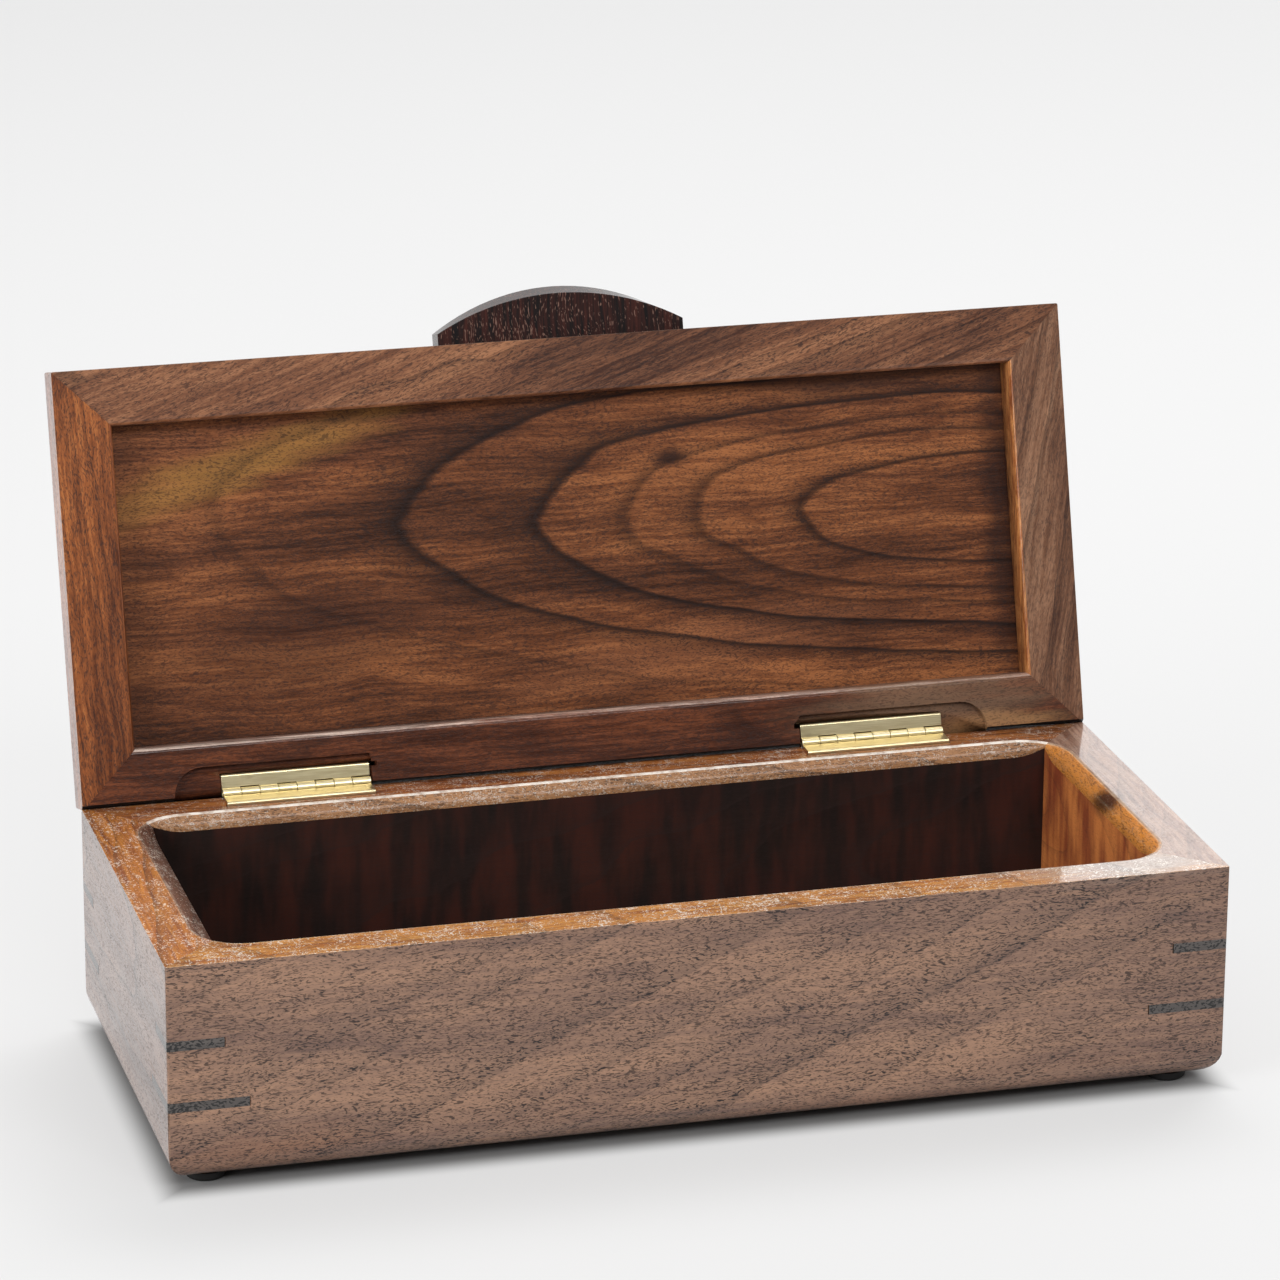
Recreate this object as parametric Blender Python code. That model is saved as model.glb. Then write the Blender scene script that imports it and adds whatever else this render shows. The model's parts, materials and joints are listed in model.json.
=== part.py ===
"""Watch box: a mitred walnut case on four feet, with a framed lid on two brass hinges.

Every sub-part is one named object. The case stands on the ground plane, +X runs along its
long side and +Y to its back, and the lid leans back on its stop. Lengths are in metres.
"""

import math

import bmesh
import bpy
from mathutils import Matrix, Vector

MM = 0.001
GAP = 0.3 * MM                 # kept between two pieces that touch
SHARP_ANGLE = math.radians(25)  # edges steeper than this stay crisp when shaded

# Case
CASE_WIDTH = 330.0 * MM        # along X, 13 in
CASE_DEPTH = 137.0 * MM        # along Y
CASE_HEIGHT = 69.7 * MM        # wood only, 2 3/4 in
WALL = 19.05 * MM              # 3/4 in boards
BASE_ROUND = 9.5 * MM          # round on the four lower outer edges
ROUND_STEPS = 8

# Bevel round the mouth of the case, cut by a bit that follows the walls
MOUTH_BEVEL_WIDTH = 6.0 * MM
MOUTH_BEVEL_DEPTH = 3.6 * MM
MOUTH_CORNER = 16.0 * MM       # corner radius at the rim
BIT_GUIDE = 10.0 * MM          # corner radius at the bottom of the bevel
MOUTH_STEPS = 14               # facets in each corner of the mouth
CUT_OVERSHOOT = 1.0 * MM

# Bottom panel, held in a groove
BOTTOM_THICK = 6.0 * MM
BOTTOM_GROOVE_HEIGHT = 6.0 * MM
BOTTOM_GROOVE_DEPTH = 6.0 * MM

# Keys let into each corner, as (name, height of the centre, leg along each face)
KEY_THICK = 3.1 * MM
KEY_LEVELS = (("upper", 44.5 * MM, 17.3 * MM), ("lower", 25.0 * MM, 24.6 * MM))

# Feet
FOOT_RADIUS = 6.2 * MM
FOOT_HEIGHT = 3.0 * MM
FOOT_ROUND = 1.1 * MM
FOOT_X = 151.5 * MM
FOOT_Y = 55.0 * MM
FOOT_SIDES = 32
FOOT_ROUND_STEPS = 4

# Lid
LID_THICK = 12.7 * MM
LID_MEMBER = 18.0 * MM         # width of a frame member
LID_GAP = 0.4 * MM             # between the closed lid and the rim
LID_LEAN = math.radians(16.0)  # past upright, on its stop
LID_OPENING = math.radians(90.0) + LID_LEAN
ARRIS = 1.6 * MM               # round on the frame's lower inner edge
ARRIS_STEPS = 4
REBATE_FLOOR = 9.0 * MM        # height of the panel's seat over the lid's underside
REBATE_WIDTH = 5.0 * MM
PANEL_THICK = 3.2 * MM

# Pull, let into the front rail from above
PULL_HALF_WIDTH = 40.3 * MM
PULL_UNDERSIDE = 5.0 * MM      # height of its lower face over the lid's underside
PULL_INSET = 6.0 * MM          # how far it reaches into the rail
PULL_END_REACH = 3.6 * MM      # how far its ends stand out of the rail
PULL_LOWER_SAG = 10.6 * MM     # rise of the arc, lower face
PULL_UPPER_SAG = 12.8 * MM     # rise of the arc, upper face
PULL_STEPS = 24

# Hinges
HINGE_CENTRES = (("left", -96.6 * MM), ("right", 93.0 * MM))
HINGE_LENGTH = 47.5 * MM
KNUCKLES = 8
KNUCKLE_CLEARANCE = 0.2 * MM
BARREL_RADIUS = 1.6 * MM
PIN_RADIUS = 0.8 * MM
PIN_CLEARANCE = 0.05 * MM
LEAF_THICK = 0.95 * MM
LEAF_FROM_AXIS = 0.1 * MM      # between the axis and the inner face of a leaf
LEAF_BEND = 0.7 * MM
LEAF_BEND_STEPS = 5
BOX_LEAF_WIDTH = 8.0 * MM
LID_LEAF_WIDTH = 6.0 * MM
FLANGE_REACH = 6.0 * MM        # how far the bent flange goes into its slot
SLIT = 0.15 * MM               # where a knuckle's curl comes back to its leaf
BARREL_STEPS = 24
AXIS_INSET = 1.6 * MM          # axis in front of the back face
AXIS_RISE = 1.25 * MM          # axis above the rim
AXIS_Y = CASE_DEPTH / 2 - AXIS_INSET
AXIS_Z = CASE_HEIGHT + AXIS_RISE

# Cuts for the hinges
RECESS_FRONT = 9.0 * MM        # front edge of the lid's recess, from the axis
RECESS_OUTER = 15.3 * MM       # past the hinge's outer end
RECESS_INNER = 0.6 * MM        # past its inner end
RECESS_INNER_ROUND = 1.0 * MM  # corner radius there; at the outer end it is the whole depth
RECESS_DEPTH = 2.2 * MM
BARREL_ROOM = BARREL_RADIUS + GAP
SLOT_PAST_FLANGE = 2.0 * MM

# The lid stops where the two back bevels meet, so each takes half of the opening angle
STOP_HALF = LID_OPENING / 2
STOP_START = (LID_GAP * math.cos(STOP_HALF) - GAP) / (2 * math.sin(STOP_HALF))

# From the lid's underside to the hinge axis, in the closed lid
UNDERSIDE = LID_GAP - AXIS_RISE
LID_FRONT = AXIS_Y + CASE_DEPTH / 2
LID_CENTRE_Y = -AXIS_Y

FINISHES = {
    "walnut_case": ((0.205, 0.125, 0.085), 0.36, 0.0),
    "walnut_lid": ((0.190, 0.095, 0.050), 0.38, 0.0),
    "walnut_panel": ((0.120, 0.052, 0.030), 0.40, 0.0),
    "base_ply": ((0.180, 0.105, 0.062), 0.55, 0.0),
    "key_wood": ((0.060, 0.048, 0.044), 0.40, 0.0),
    "pull_wood": ((0.022, 0.012, 0.010), 0.38, 0.0),
    "brass": ((0.700, 0.560, 0.270), 0.32, 1.0),
    "foot_rubber": ((0.012, 0.012, 0.012), 0.75, 0.0),
}


def clear_scene():
    """Remove every object that is there before the model."""
    for item in list(bpy.data.objects):
        bpy.data.objects.remove(item, do_unlink=True)


def add_material(name, finish):
    """Return a new Principled material in the named finish."""
    colour, roughness, metallic = FINISHES[finish]
    material = bpy.data.materials.new(name)
    material.use_nodes = True
    shader = material.node_tree.nodes["Principled BSDF"]
    shader.inputs["Base Color"].default_value = (*colour, 1.0)
    shader.inputs["Roughness"].default_value = roughness
    shader.inputs["Metallic"].default_value = metallic
    return material


def add_empty(name, location, parent=None):
    """Add an empty that pieces are placed from."""
    empty = bpy.data.objects.new(name, None)
    bpy.context.collection.objects.link(empty)
    empty.parent = parent
    empty.location = location
    return empty


def add_object(name, shape, parent, location=(0, 0, 0), turn=0.0):
    """Turn a bmesh into an object, placed under its parent and turned about Z."""
    bmesh.ops.recalc_face_normals(shape, faces=shape.faces)
    mesh = bpy.data.meshes.new(name)
    shape.to_mesh(mesh)
    shape.free()
    mesh.shade_smooth()
    mesh.set_sharp_from_angle(angle=SHARP_ANGLE)
    item = bpy.data.objects.new(name, mesh)
    bpy.context.collection.objects.link(item)
    item.parent = parent
    item.location = location
    item.rotation_euler = (0.0, 0.0, turn)
    return item


def add_part(name, shape, finish, parent, location=(0, 0, 0), turn=0.0):
    """Add a sub-part with a material of its own."""
    item = add_object(name, shape, parent, location, turn)
    item.data.materials.append(add_material(name, finish))
    return item


def add_cutter(name, shape, parent):
    """Add a solid that only cuts others."""
    item = add_object(name, shape, parent)
    item.hide_render = True
    item.display_type = "WIRE"
    return item


def subtract(item, cutter):
    """Cut one object with another, live."""
    cut = item.modifiers.new("cut_" + cutter.name, "BOOLEAN")
    cut.operation = "DIFFERENCE"
    cut.solver = "EXACT"
    cut.object = cutter


def arc(centre, radius, start, end, steps):
    """Return points on an arc, its ends included; angles in degrees."""
    points = []
    for step in range(steps + 1):
        angle = math.radians(start + (end - start) * step / steps)
        points.append((centre[0] + radius * math.cos(angle), centre[1] + radius * math.sin(angle)))
    return points


def extrude_points(shape, points, travel):
    """Make a face through the points and extrude it along a vector into a solid."""
    face = shape.faces.new([shape.verts.new(point) for point in points])
    made = bmesh.ops.extrude_face_region(shape, geom=[face])["geom"]
    moved = [item for item in made if isinstance(item, bmesh.types.BMVert)]
    bmesh.ops.translate(shape, verts=moved, vec=travel)
    return moved


def bar(profile, start, end):
    """Return a solid whose (y, z) profile runs along X."""
    shape = bmesh.new()
    extrude_points(shape, [(start, y, z) for y, z in profile], (end - start, 0, 0))
    return shape


def add_block(shape, low, high):
    """Add a rectangular block between two corners to a bmesh."""
    outline = [(low[0], low[1]), (high[0], low[1]), (high[0], high[1]), (low[0], high[1])]
    extrude_points(shape, [(x, y, low[2]) for x, y in outline], (0, 0, high[2] - low[2]))


def trim(shape, point, normal):
    """Cut away what lies past a plane and close the cut."""
    geometry = shape.verts[:] + shape.edges[:] + shape.faces[:]
    bmesh.ops.bisect_plane(shape, geom=geometry, plane_co=point, plane_no=normal, clear_outer=True)
    open_edges = [edge for edge in shape.edges if edge.is_boundary]
    if open_edges:
        bmesh.ops.edgeloop_fill(shape, edges=open_edges)


def mitred_bar(profile, length):
    """Return a bar whose ends are mitred, leaving half a gap at each joint.

    The profile's y runs inwards from the outer face.
    """
    shape = bar(profile, -length / 2, length / 2)
    setback = GAP / 2 * math.sqrt(2)
    for end in (-1, 1):
        trim(shape, (end * (length / 2 - setback), 0, 0), (end, 1, 0))
    return shape


def rounded_outline(half_x, half_y, radius, height, steps):
    """Return the points of a rectangle with round corners at a height."""
    points = []
    for corner, (side_x, side_y) in enumerate(((1, 1), (-1, 1), (-1, -1), (1, -1))):
        centre = (side_x * (half_x - radius), side_y * (half_y - radius))
        points += [(x, y, height) for x, y in arc(centre, radius, 90 * corner, 90 * corner + 90, steps)]
    return points


def place_on_sides(width, depth):
    """Return side name, bar length, centre of the outer face and turn for four mitred bars."""
    return (
        ("front", width, (0, -depth / 2), 0.0),
        ("right", depth, (width / 2, 0), math.radians(90)),
        ("back", width, (0, depth / 2), math.radians(180)),
        ("left", depth, (-width / 2, 0), math.radians(270)),
    )


def trim_stop_bevel(shape, centre, turn, rise):
    """Bevel the back edge of a bar for the lid's stop.

    rise is +1 for the lid, whose bevel climbs from its underside, and -1 for the case.
    centre and turn place the bar in the assembly, where the bevel's plane is known.
    """
    height = 0.0 if rise > 0 else CASE_HEIGHT
    normal = Vector((0, math.sin(STOP_HALF), -rise * math.cos(STOP_HALF)))
    point = Vector((0, AXIS_Y + STOP_START, height))
    to_bar = Matrix.Rotation(-turn, 3, "Z")
    trim(shape, to_bar @ (point - Vector((*centre, 0))), to_bar @ normal)


# ---------------------------------------------------------------- case


def wall_profile():
    """Return a wall's section: rounded foot, plain rim and the groove for the bottom."""
    groove_low = BOTTOM_GROOVE_HEIGHT
    groove_high = groove_low + BOTTOM_THICK + 2 * GAP
    groove_back = WALL - BOTTOM_GROOVE_DEPTH
    return arc((BASE_ROUND, BASE_ROUND), BASE_ROUND, 270, 180, ROUND_STEPS) + [
        (0, CASE_HEIGHT), (WALL, CASE_HEIGHT), (WALL, groove_high), (groove_back, groove_high),
        (groove_back, groove_low), (WALL, groove_low), (WALL, 0)]


def mouth_cutter(parent):
    """Add the solid that bevels the mouth of the case, with conical corners."""
    slope = MOUTH_BEVEL_WIDTH / MOUTH_BEVEL_DEPTH
    shape = bmesh.new()
    rings = []
    for height in (-MOUTH_BEVEL_DEPTH - CUT_OVERSHOOT, CUT_OVERSHOOT):
        growth = (height + MOUTH_BEVEL_DEPTH) * slope
        corner = BIT_GUIDE + growth * (MOUTH_CORNER - BIT_GUIDE) / MOUTH_BEVEL_WIDTH
        outline = rounded_outline(CASE_WIDTH / 2 - WALL + growth, CASE_DEPTH / 2 - WALL + growth,
                                  corner, CASE_HEIGHT + height, MOUTH_STEPS)
        rings.append(shape.faces.new([shape.verts.new(point) for point in outline]))
    edges = [edge for ring in rings for edge in ring.edges]
    bmesh.ops.bridge_loops(shape, edges=edges)
    return add_cutter("mouth_cutter", shape, parent)


def key_outline(side_x, side_y, leg, outward=0.0):
    """Return a corner key's triangle in plan, optionally carried past the outer faces."""
    corner_x = CASE_WIDTH / 2 + outward
    corner_y = CASE_DEPTH / 2 + outward
    reach = leg + 2 * outward
    return [(side_x * corner_x, side_y * corner_y), (side_x * (corner_x - reach), side_y * corner_y),
            (side_x * corner_x, side_y * (corner_y - reach))]


def corners():
    """Return each corner's name and its side along X and Y."""
    return [("%s_%s" % (end, side), x, y)
            for end, y in (("front", -1), ("back", 1)) for side, x in (("left", -1), ("right", 1))]


def key_slot_cutter(parent):
    """Add the solid that saws the slots for all the corner keys."""
    shape = bmesh.new()
    for _, height, leg in KEY_LEVELS:
        thickness = KEY_THICK + 2 * GAP
        for _, side_x, side_y in corners():
            outline = key_outline(side_x, side_y, leg + GAP * math.sqrt(2), CUT_OVERSHOOT)
            points = [(x, y, height - thickness / 2) for x, y in outline]
            extrude_points(shape, points, (0, 0, thickness))
    return add_cutter("key_slot_cutter", shape, parent)


def build_keys(parent):
    """Build the keys that cross each corner joint."""
    for level, height, leg in KEY_LEVELS:
        for corner, side_x, side_y in corners():
            shape = bmesh.new()
            points = [(x, y, height - KEY_THICK / 2) for x, y in key_outline(side_x, side_y, leg)]
            extrude_points(shape, points, (0, 0, KEY_THICK))
            add_part("corner_key_%s_%s" % (corner, level), shape, "key_wood", parent)


def hinge_span(centre, outer, inner):
    """Return the start and end along X of a cut that passes a hinge's ends unequally."""
    if centre < 0:
        return centre - HINGE_LENGTH / 2 - outer, centre + HINGE_LENGTH / 2 + inner
    return centre - HINGE_LENGTH / 2 - inner, centre + HINGE_LENGTH / 2 + outer


def case_hinge_cutter(parent):
    """Add the solid that cuts the barrel grooves and flange slots in the back wall."""
    shape = bmesh.new()
    slot_back = AXIS_Y - BOX_LEAF_WIDTH + LEAF_THICK + GAP
    for _, centre in HINGE_CENTRES:
        start = centre - HINGE_LENGTH / 2 - GAP
        end = centre + HINGE_LENGTH / 2 + GAP
        add_block(shape, (start, AXIS_Y - BARREL_ROOM, AXIS_Z - BARREL_ROOM),
                  (end, CASE_DEPTH / 2 + CUT_OVERSHOOT, CASE_HEIGHT + CUT_OVERSHOOT))
        add_block(shape, (start, AXIS_Y - BOX_LEAF_WIDTH - GAP, AXIS_Z - FLANGE_REACH - GAP),
                  (end, slot_back, CASE_HEIGHT + CUT_OVERSHOOT))
    return add_cutter("case_hinge_cutter", shape, parent)


def build_walls(parent):
    """Build the four mitred walls, cut for the mouth bevel, the keys and the hinges."""
    mouth = mouth_cutter(parent)
    key_slots = key_slot_cutter(parent)
    hinge_cuts = case_hinge_cutter(parent)
    for side, length, (x, y), turn in place_on_sides(CASE_WIDTH, CASE_DEPTH):
        shape = mitred_bar(wall_profile(), length)
        if side != "front":
            trim_stop_bevel(shape, (x, y), turn, -1)
        wall = add_part(side + "_wall", shape, "walnut_case", parent, (x, y, 0), turn)
        subtract(wall, mouth)
        subtract(wall, key_slots)
        if side == "back":
            subtract(wall, hinge_cuts)


def build_bottom(parent):
    """Build the bottom panel that sits in the walls' groove."""
    half_x = CASE_WIDTH / 2 - WALL + BOTTOM_GROOVE_DEPTH - GAP
    half_y = CASE_DEPTH / 2 - WALL + BOTTOM_GROOVE_DEPTH - GAP
    low = BOTTOM_GROOVE_HEIGHT + GAP
    shape = bmesh.new()
    add_block(shape, (-half_x, -half_y, low), (half_x, half_y, low + BOTTOM_THICK))
    add_part("bottom_panel", shape, "base_ply", parent)


def build_feet(parent):
    """Build the four round feet, rounded where they meet the ground."""
    for corner, side_x, side_y in corners():
        shape = bmesh.new()
        bmesh.ops.create_cone(shape, cap_ends=True, segments=FOOT_SIDES, radius1=FOOT_RADIUS,
                              radius2=FOOT_RADIUS, depth=FOOT_HEIGHT - GAP)
        lower = [edge for edge in shape.edges if all(vert.co.z < 0 for vert in edge.verts)]
        bmesh.ops.bevel(shape, geom=lower, offset=FOOT_ROUND, segments=FOOT_ROUND_STEPS, profile=0.5,
                        affect="EDGES")
        place = (side_x * FOOT_X, side_y * FOOT_Y, -(FOOT_HEIGHT + GAP) / 2)
        add_part("foot_" + corner, shape, "foot_rubber", parent, place)


# ---------------------------------------------------------------- lid


def frame_profile():
    """Return a lid member's section: rounded lower inner edge and the panel's rebate."""
    arris_centre = (LID_MEMBER - ARRIS, ARRIS)
    return [(0, 0)] + arc(arris_centre, ARRIS, 270, 360, ARRIS_STEPS) + [
        (LID_MEMBER, REBATE_FLOOR), (LID_MEMBER - REBATE_WIDTH, REBATE_FLOOR),
        (LID_MEMBER - REBATE_WIDTH, LID_THICK), (0, LID_THICK)]


def recess_points(centre, height):
    """Return the outline of a hinge recess, rounded by the cutter at both ends."""
    start, end = hinge_span(centre, RECESS_OUTER, RECESS_INNER)
    back = AXIS_INSET + CUT_OVERSHOOT
    left, right = RECESS_FRONT, RECESS_INNER_ROUND
    if centre > 0:
        left, right = right, left
    front_right = arc((end - right, right - RECESS_FRONT), right, 0, -90, ROUND_STEPS)
    front_left = arc((start + left, left - RECESS_FRONT), left, 270, 180, ROUND_STEPS)
    outline = [(end, back)] + front_right + front_left + [(start, back)]
    return [(x, y, height) for x, y in outline]


def lid_hinge_cutter(parent):
    """Add the solids that cut the hinge recesses, barrel grooves and flange slots."""
    recess = bmesh.new()
    deep = bmesh.new()
    for _, centre in HINGE_CENTRES:
        low = UNDERSIDE - CUT_OVERSHOOT
        extrude_points(recess, recess_points(centre, low), (0, 0, RECESS_DEPTH + CUT_OVERSHOOT))
        start, end = centre - HINGE_LENGTH / 2, centre + HINGE_LENGTH / 2
        add_block(deep, (start - GAP, -BARREL_ROOM, low),
                  (end + GAP, AXIS_INSET + CUT_OVERSHOOT, BARREL_ROOM))
        inner = SLOT_PAST_FLANGE * (1 if centre < 0 else -1)
        add_block(deep, (start - GAP + min(inner, 0), -LID_LEAF_WIDTH - GAP, low),
                  (end + GAP + max(inner, 0), -LID_LEAF_WIDTH + LEAF_THICK + GAP, FLANGE_REACH + GAP))
    return add_cutter("lid_recess_cutter", recess, parent), add_cutter("lid_slot_cutter", deep, parent)


def pull_points(height):
    """Return the pull's plan outline at its lower face."""
    end_y = -LID_FRONT - PULL_END_REACH
    radius = (PULL_HALF_WIDTH ** 2 + PULL_LOWER_SAG ** 2) / (2 * PULL_LOWER_SAG)
    spread = math.degrees(math.asin(PULL_HALF_WIDTH / radius))
    centre = (0, end_y - PULL_LOWER_SAG + radius)
    outer = arc(centre, radius, 270 - spread, 270 + spread, PULL_STEPS)
    inner_y = -LID_FRONT + PULL_INSET
    outline = [(-PULL_HALF_WIDTH, inner_y)] + outer + [(PULL_HALF_WIDTH, inner_y)]
    return [(x, y, height) for x, y in outline]


def build_pull(parent):
    """Build the arched pull, whose edge flares towards its upper face."""
    low = UNDERSIDE + PULL_UNDERSIDE
    high = UNDERSIDE + LID_THICK
    shape = bmesh.new()
    upper = extrude_points(shape, pull_points(low), (0, 0, high - low))
    end_y = -LID_FRONT - PULL_END_REACH
    for vert in upper:
        if vert.co.y < end_y:
            vert.co.y = end_y + (vert.co.y - end_y) * PULL_UPPER_SAG / PULL_LOWER_SAG
    add_part("lid_pull", shape, "pull_wood", parent)


def pull_notch_cutter(parent):
    """Add the block that cuts the pull's notch in the front rail."""
    shape = bmesh.new()
    half = PULL_HALF_WIDTH + GAP
    add_block(shape, (-half, -LID_FRONT - CUT_OVERSHOOT, UNDERSIDE + PULL_UNDERSIDE - GAP),
              (half, -LID_FRONT + PULL_INSET + GAP, UNDERSIDE + LID_THICK + CUT_OVERSHOOT))
    return add_cutter("pull_notch_cutter", shape, parent)


def build_frame(parent):
    """Build the lid's four mitred members."""
    cutters = {"back": lid_hinge_cutter(parent), "front": (pull_notch_cutter(parent),)}
    kinds = {"front": "rail", "back": "rail", "left": "stile", "right": "stile"}
    for side, length, (x, y), turn in place_on_sides(CASE_WIDTH, CASE_DEPTH):
        shape = mitred_bar(frame_profile(), length)
        if side != "front":
            trim_stop_bevel(shape, (x, y), turn, 1)
        member = add_part("lid_%s_%s" % (side, kinds[side]), shape, "walnut_lid", parent,
                          (x, y + LID_CENTRE_Y, UNDERSIDE), turn)
        for cutter in cutters.get(side, ()):
            subtract(member, cutter)


def build_panel(parent):
    """Build the lid panel that lies in the frame's rebate."""
    half_x = CASE_WIDTH / 2 - LID_MEMBER + REBATE_WIDTH - GAP
    half_y = CASE_DEPTH / 2 - LID_MEMBER + REBATE_WIDTH - GAP
    low = UNDERSIDE + REBATE_FLOOR + GAP
    shape = bmesh.new()
    add_block(shape, (-half_x, LID_CENTRE_Y - half_y, low),
              (half_x, LID_CENTRE_Y + half_y, low + PANEL_THICK))
    add_part("lid_panel", shape, "walnut_panel", parent)


# ---------------------------------------------------------------- hinges


def leaf_profile(width):
    """Return the section of a lid leaf, bent into its slot and curled round the pin.

    The leaf lies above the axis, as in the closed box.
    """
    near = LEAF_FROM_AXIS
    far = LEAF_FROM_AXIS + LEAF_THICK
    bore = PIN_RADIUS + PIN_CLEARANCE
    tip = near - SLIT
    outer_start = math.degrees(math.pi - math.asin(far / BARREL_RADIUS))
    outer_end = math.degrees(-math.pi - math.asin(tip / BARREL_RADIUS))
    inner_start = math.degrees(-math.pi - math.asin(tip / bore))
    inner_end = math.degrees(math.pi - math.asin(near / bore))
    bend = arc((-width + LEAF_BEND, near + LEAF_BEND), LEAF_BEND, 270, 180, LEAF_BEND_STEPS)
    curl = arc((0, 0), BARREL_RADIUS, outer_start, outer_end, BARREL_STEPS)
    bore_arc = arc((0, 0), bore, inner_start, inner_end, BARREL_STEPS)
    flange = [(-width, FLANGE_REACH), (-width + LEAF_THICK, FLANGE_REACH), (-width + LEAF_THICK, far)]
    return bend + flange + curl + bore_arc


def notch_shape(first):
    """Return the blocks that take away every second knuckle, starting at the first or second."""
    shape = bmesh.new()
    pitch = HINGE_LENGTH / KNUCKLES
    reach = BARREL_RADIUS + CUT_OVERSHOOT
    for knuckle in range(first, KNUCKLES, 2):
        start = -HINGE_LENGTH / 2 + knuckle * pitch - KNUCKLE_CLEARANCE / 2
        end = start + pitch + KNUCKLE_CLEARANCE
        if knuckle == 0:
            start -= CUT_OVERSHOOT
        if knuckle == KNUCKLES - 1:
            end += CUT_OVERSHOOT
        add_block(shape, (start, -BARREL_RADIUS - GAP, -reach), (end, reach, reach))
    return shape


def build_leaf(name, width, first_notch, side, parent, place):
    """Build one leaf; side is +1 for the lid's leaf and -1 for the case's."""
    profile = [(y, side * z) for y, z in leaf_profile(width)]
    leaf = add_part(name, bar(profile, -HINGE_LENGTH / 2, HINGE_LENGTH / 2), "brass", parent, place)
    notches = notch_shape(first_notch)
    bmesh.ops.translate(notches, verts=notches.verts, vec=place)
    subtract(leaf, add_cutter(name + "_notches", notches, parent))


def build_pin(name, parent, place):
    """Build a hinge pin along the axis."""
    shape = bmesh.new()
    bmesh.ops.create_cone(shape, cap_ends=True, segments=BARREL_STEPS, radius1=PIN_RADIUS,
                          radius2=PIN_RADIUS, depth=HINGE_LENGTH - KNUCKLE_CLEARANCE)
    bmesh.ops.rotate(shape, verts=shape.verts, matrix=Matrix.Rotation(math.radians(90), 3, "Y"))
    add_part(name, shape, "brass", parent, place)


def build_hinges(case, lid):
    """Build both hinges: a leaf on the case, a leaf on the lid and a pin."""
    for side, centre in HINGE_CENTRES:
        on_case = (centre, AXIS_Y, AXIS_Z)
        build_leaf(side + "_hinge_lid_leaf", LID_LEAF_WIDTH, 1, 1, lid, (centre, 0, 0))
        build_leaf(side + "_hinge_case_leaf", BOX_LEAF_WIDTH, 0, -1, case, on_case)
        build_pin(side + "_hinge_pin", case, on_case)


def case_offset():
    """Return the case's place, so that the open box is centred over the origin."""
    over_axis = UNDERSIDE + LID_THICK
    reach = LID_FRONT + PULL_END_REACH + PULL_UPPER_SAG
    back = AXIS_Y + reach * math.sin(LID_LEAN) + over_axis * math.cos(LID_LEAN)
    return (0, -(back - CASE_DEPTH / 2) / 2, FOOT_HEIGHT)


def main():
    """Build the watch box with its lid open on its stop."""
    clear_scene()
    case = add_empty("case", case_offset())
    lid = add_empty("lid_axis", (0, AXIS_Y, AXIS_Z), case)
    lid.rotation_euler = (-LID_OPENING, 0, 0)
    build_walls(case)
    build_bottom(case)
    build_keys(case)
    build_feet(case)
    build_frame(lid)
    build_panel(lid)
    build_pull(lid)
    build_hinges(case, lid)


main()
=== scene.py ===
"""Looks of the watch box: fine joinery, hinges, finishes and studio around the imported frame.

Lengths are in metres unless a name says otherwise. The lid stands open at rest, so its pieces
are worked on in the closed position, where they are square to the axes, and then opened again.
"""

import json
import logging
import math
from collections.abc import Callable, Iterable
from dataclasses import dataclass, field
from enum import Enum

import bmesh
import bpy
from mathutils import Matrix, Vector


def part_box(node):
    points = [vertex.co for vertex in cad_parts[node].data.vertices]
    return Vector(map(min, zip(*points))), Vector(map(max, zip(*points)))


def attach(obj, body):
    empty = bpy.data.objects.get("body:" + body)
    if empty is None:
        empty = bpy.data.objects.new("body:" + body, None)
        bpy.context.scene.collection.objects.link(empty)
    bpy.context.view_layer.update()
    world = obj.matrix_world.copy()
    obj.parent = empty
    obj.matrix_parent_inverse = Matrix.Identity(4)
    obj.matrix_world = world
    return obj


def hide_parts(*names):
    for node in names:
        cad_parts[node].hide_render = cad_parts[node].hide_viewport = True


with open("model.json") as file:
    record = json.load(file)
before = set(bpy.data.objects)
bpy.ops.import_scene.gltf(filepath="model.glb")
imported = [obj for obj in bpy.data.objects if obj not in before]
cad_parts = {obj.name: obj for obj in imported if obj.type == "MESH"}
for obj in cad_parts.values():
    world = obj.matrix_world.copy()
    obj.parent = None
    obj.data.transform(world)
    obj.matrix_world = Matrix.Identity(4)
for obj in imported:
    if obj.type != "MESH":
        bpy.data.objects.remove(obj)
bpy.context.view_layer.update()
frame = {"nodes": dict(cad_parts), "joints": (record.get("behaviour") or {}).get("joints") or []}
CAD_CASE = (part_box("left_wall")[0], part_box("right_wall")[1])

MM = 0.001
TOUCH = 0.01 * MM  # closer than this counts as the same place
WELD = TOUCH / 10
CAD_GAP = 0.3 * MM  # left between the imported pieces
CLOSE_FIT = 0.02 * MM  # left between the finished ones
SHORTEST_EASED = 5 * MM
FLAT_ANGLE = math.radians(0.4)
SMOOTH_ANGLE = math.radians(36)
CRISP_ANGLE = math.radians(30)
MOUTH_ANGLE = math.radians(15)  # least turn of the edge where the bevel starts
BEND_ANGLE = math.radians(50)  # more than a facet of a leaf's bend or knuckle

ORIGIN = (0.0, 0.0, 0.0)
CORNERS = ("front_left", "front_right", "back_left", "back_right")
ALONG_X_SIDES = ("front", "back")
# faces whose tones carry painted light and shade
ZONES = ("rim_face", "bevel_face", "inner_face", "stop_shade_face")
COAT_ROUGHNESS = 0.07
CORNER_RUB_AND_HIGHLIGHT = 0.3  # the share of rubbing and painted highlight that a planed corner shows
KNOT_IN_WALL = (-0.4, 33.0, -15.2)

log = logging.getLogger("watch_box")
Colour = tuple[float, float, float]
Socket = bpy.types.NodeSocket


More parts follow.
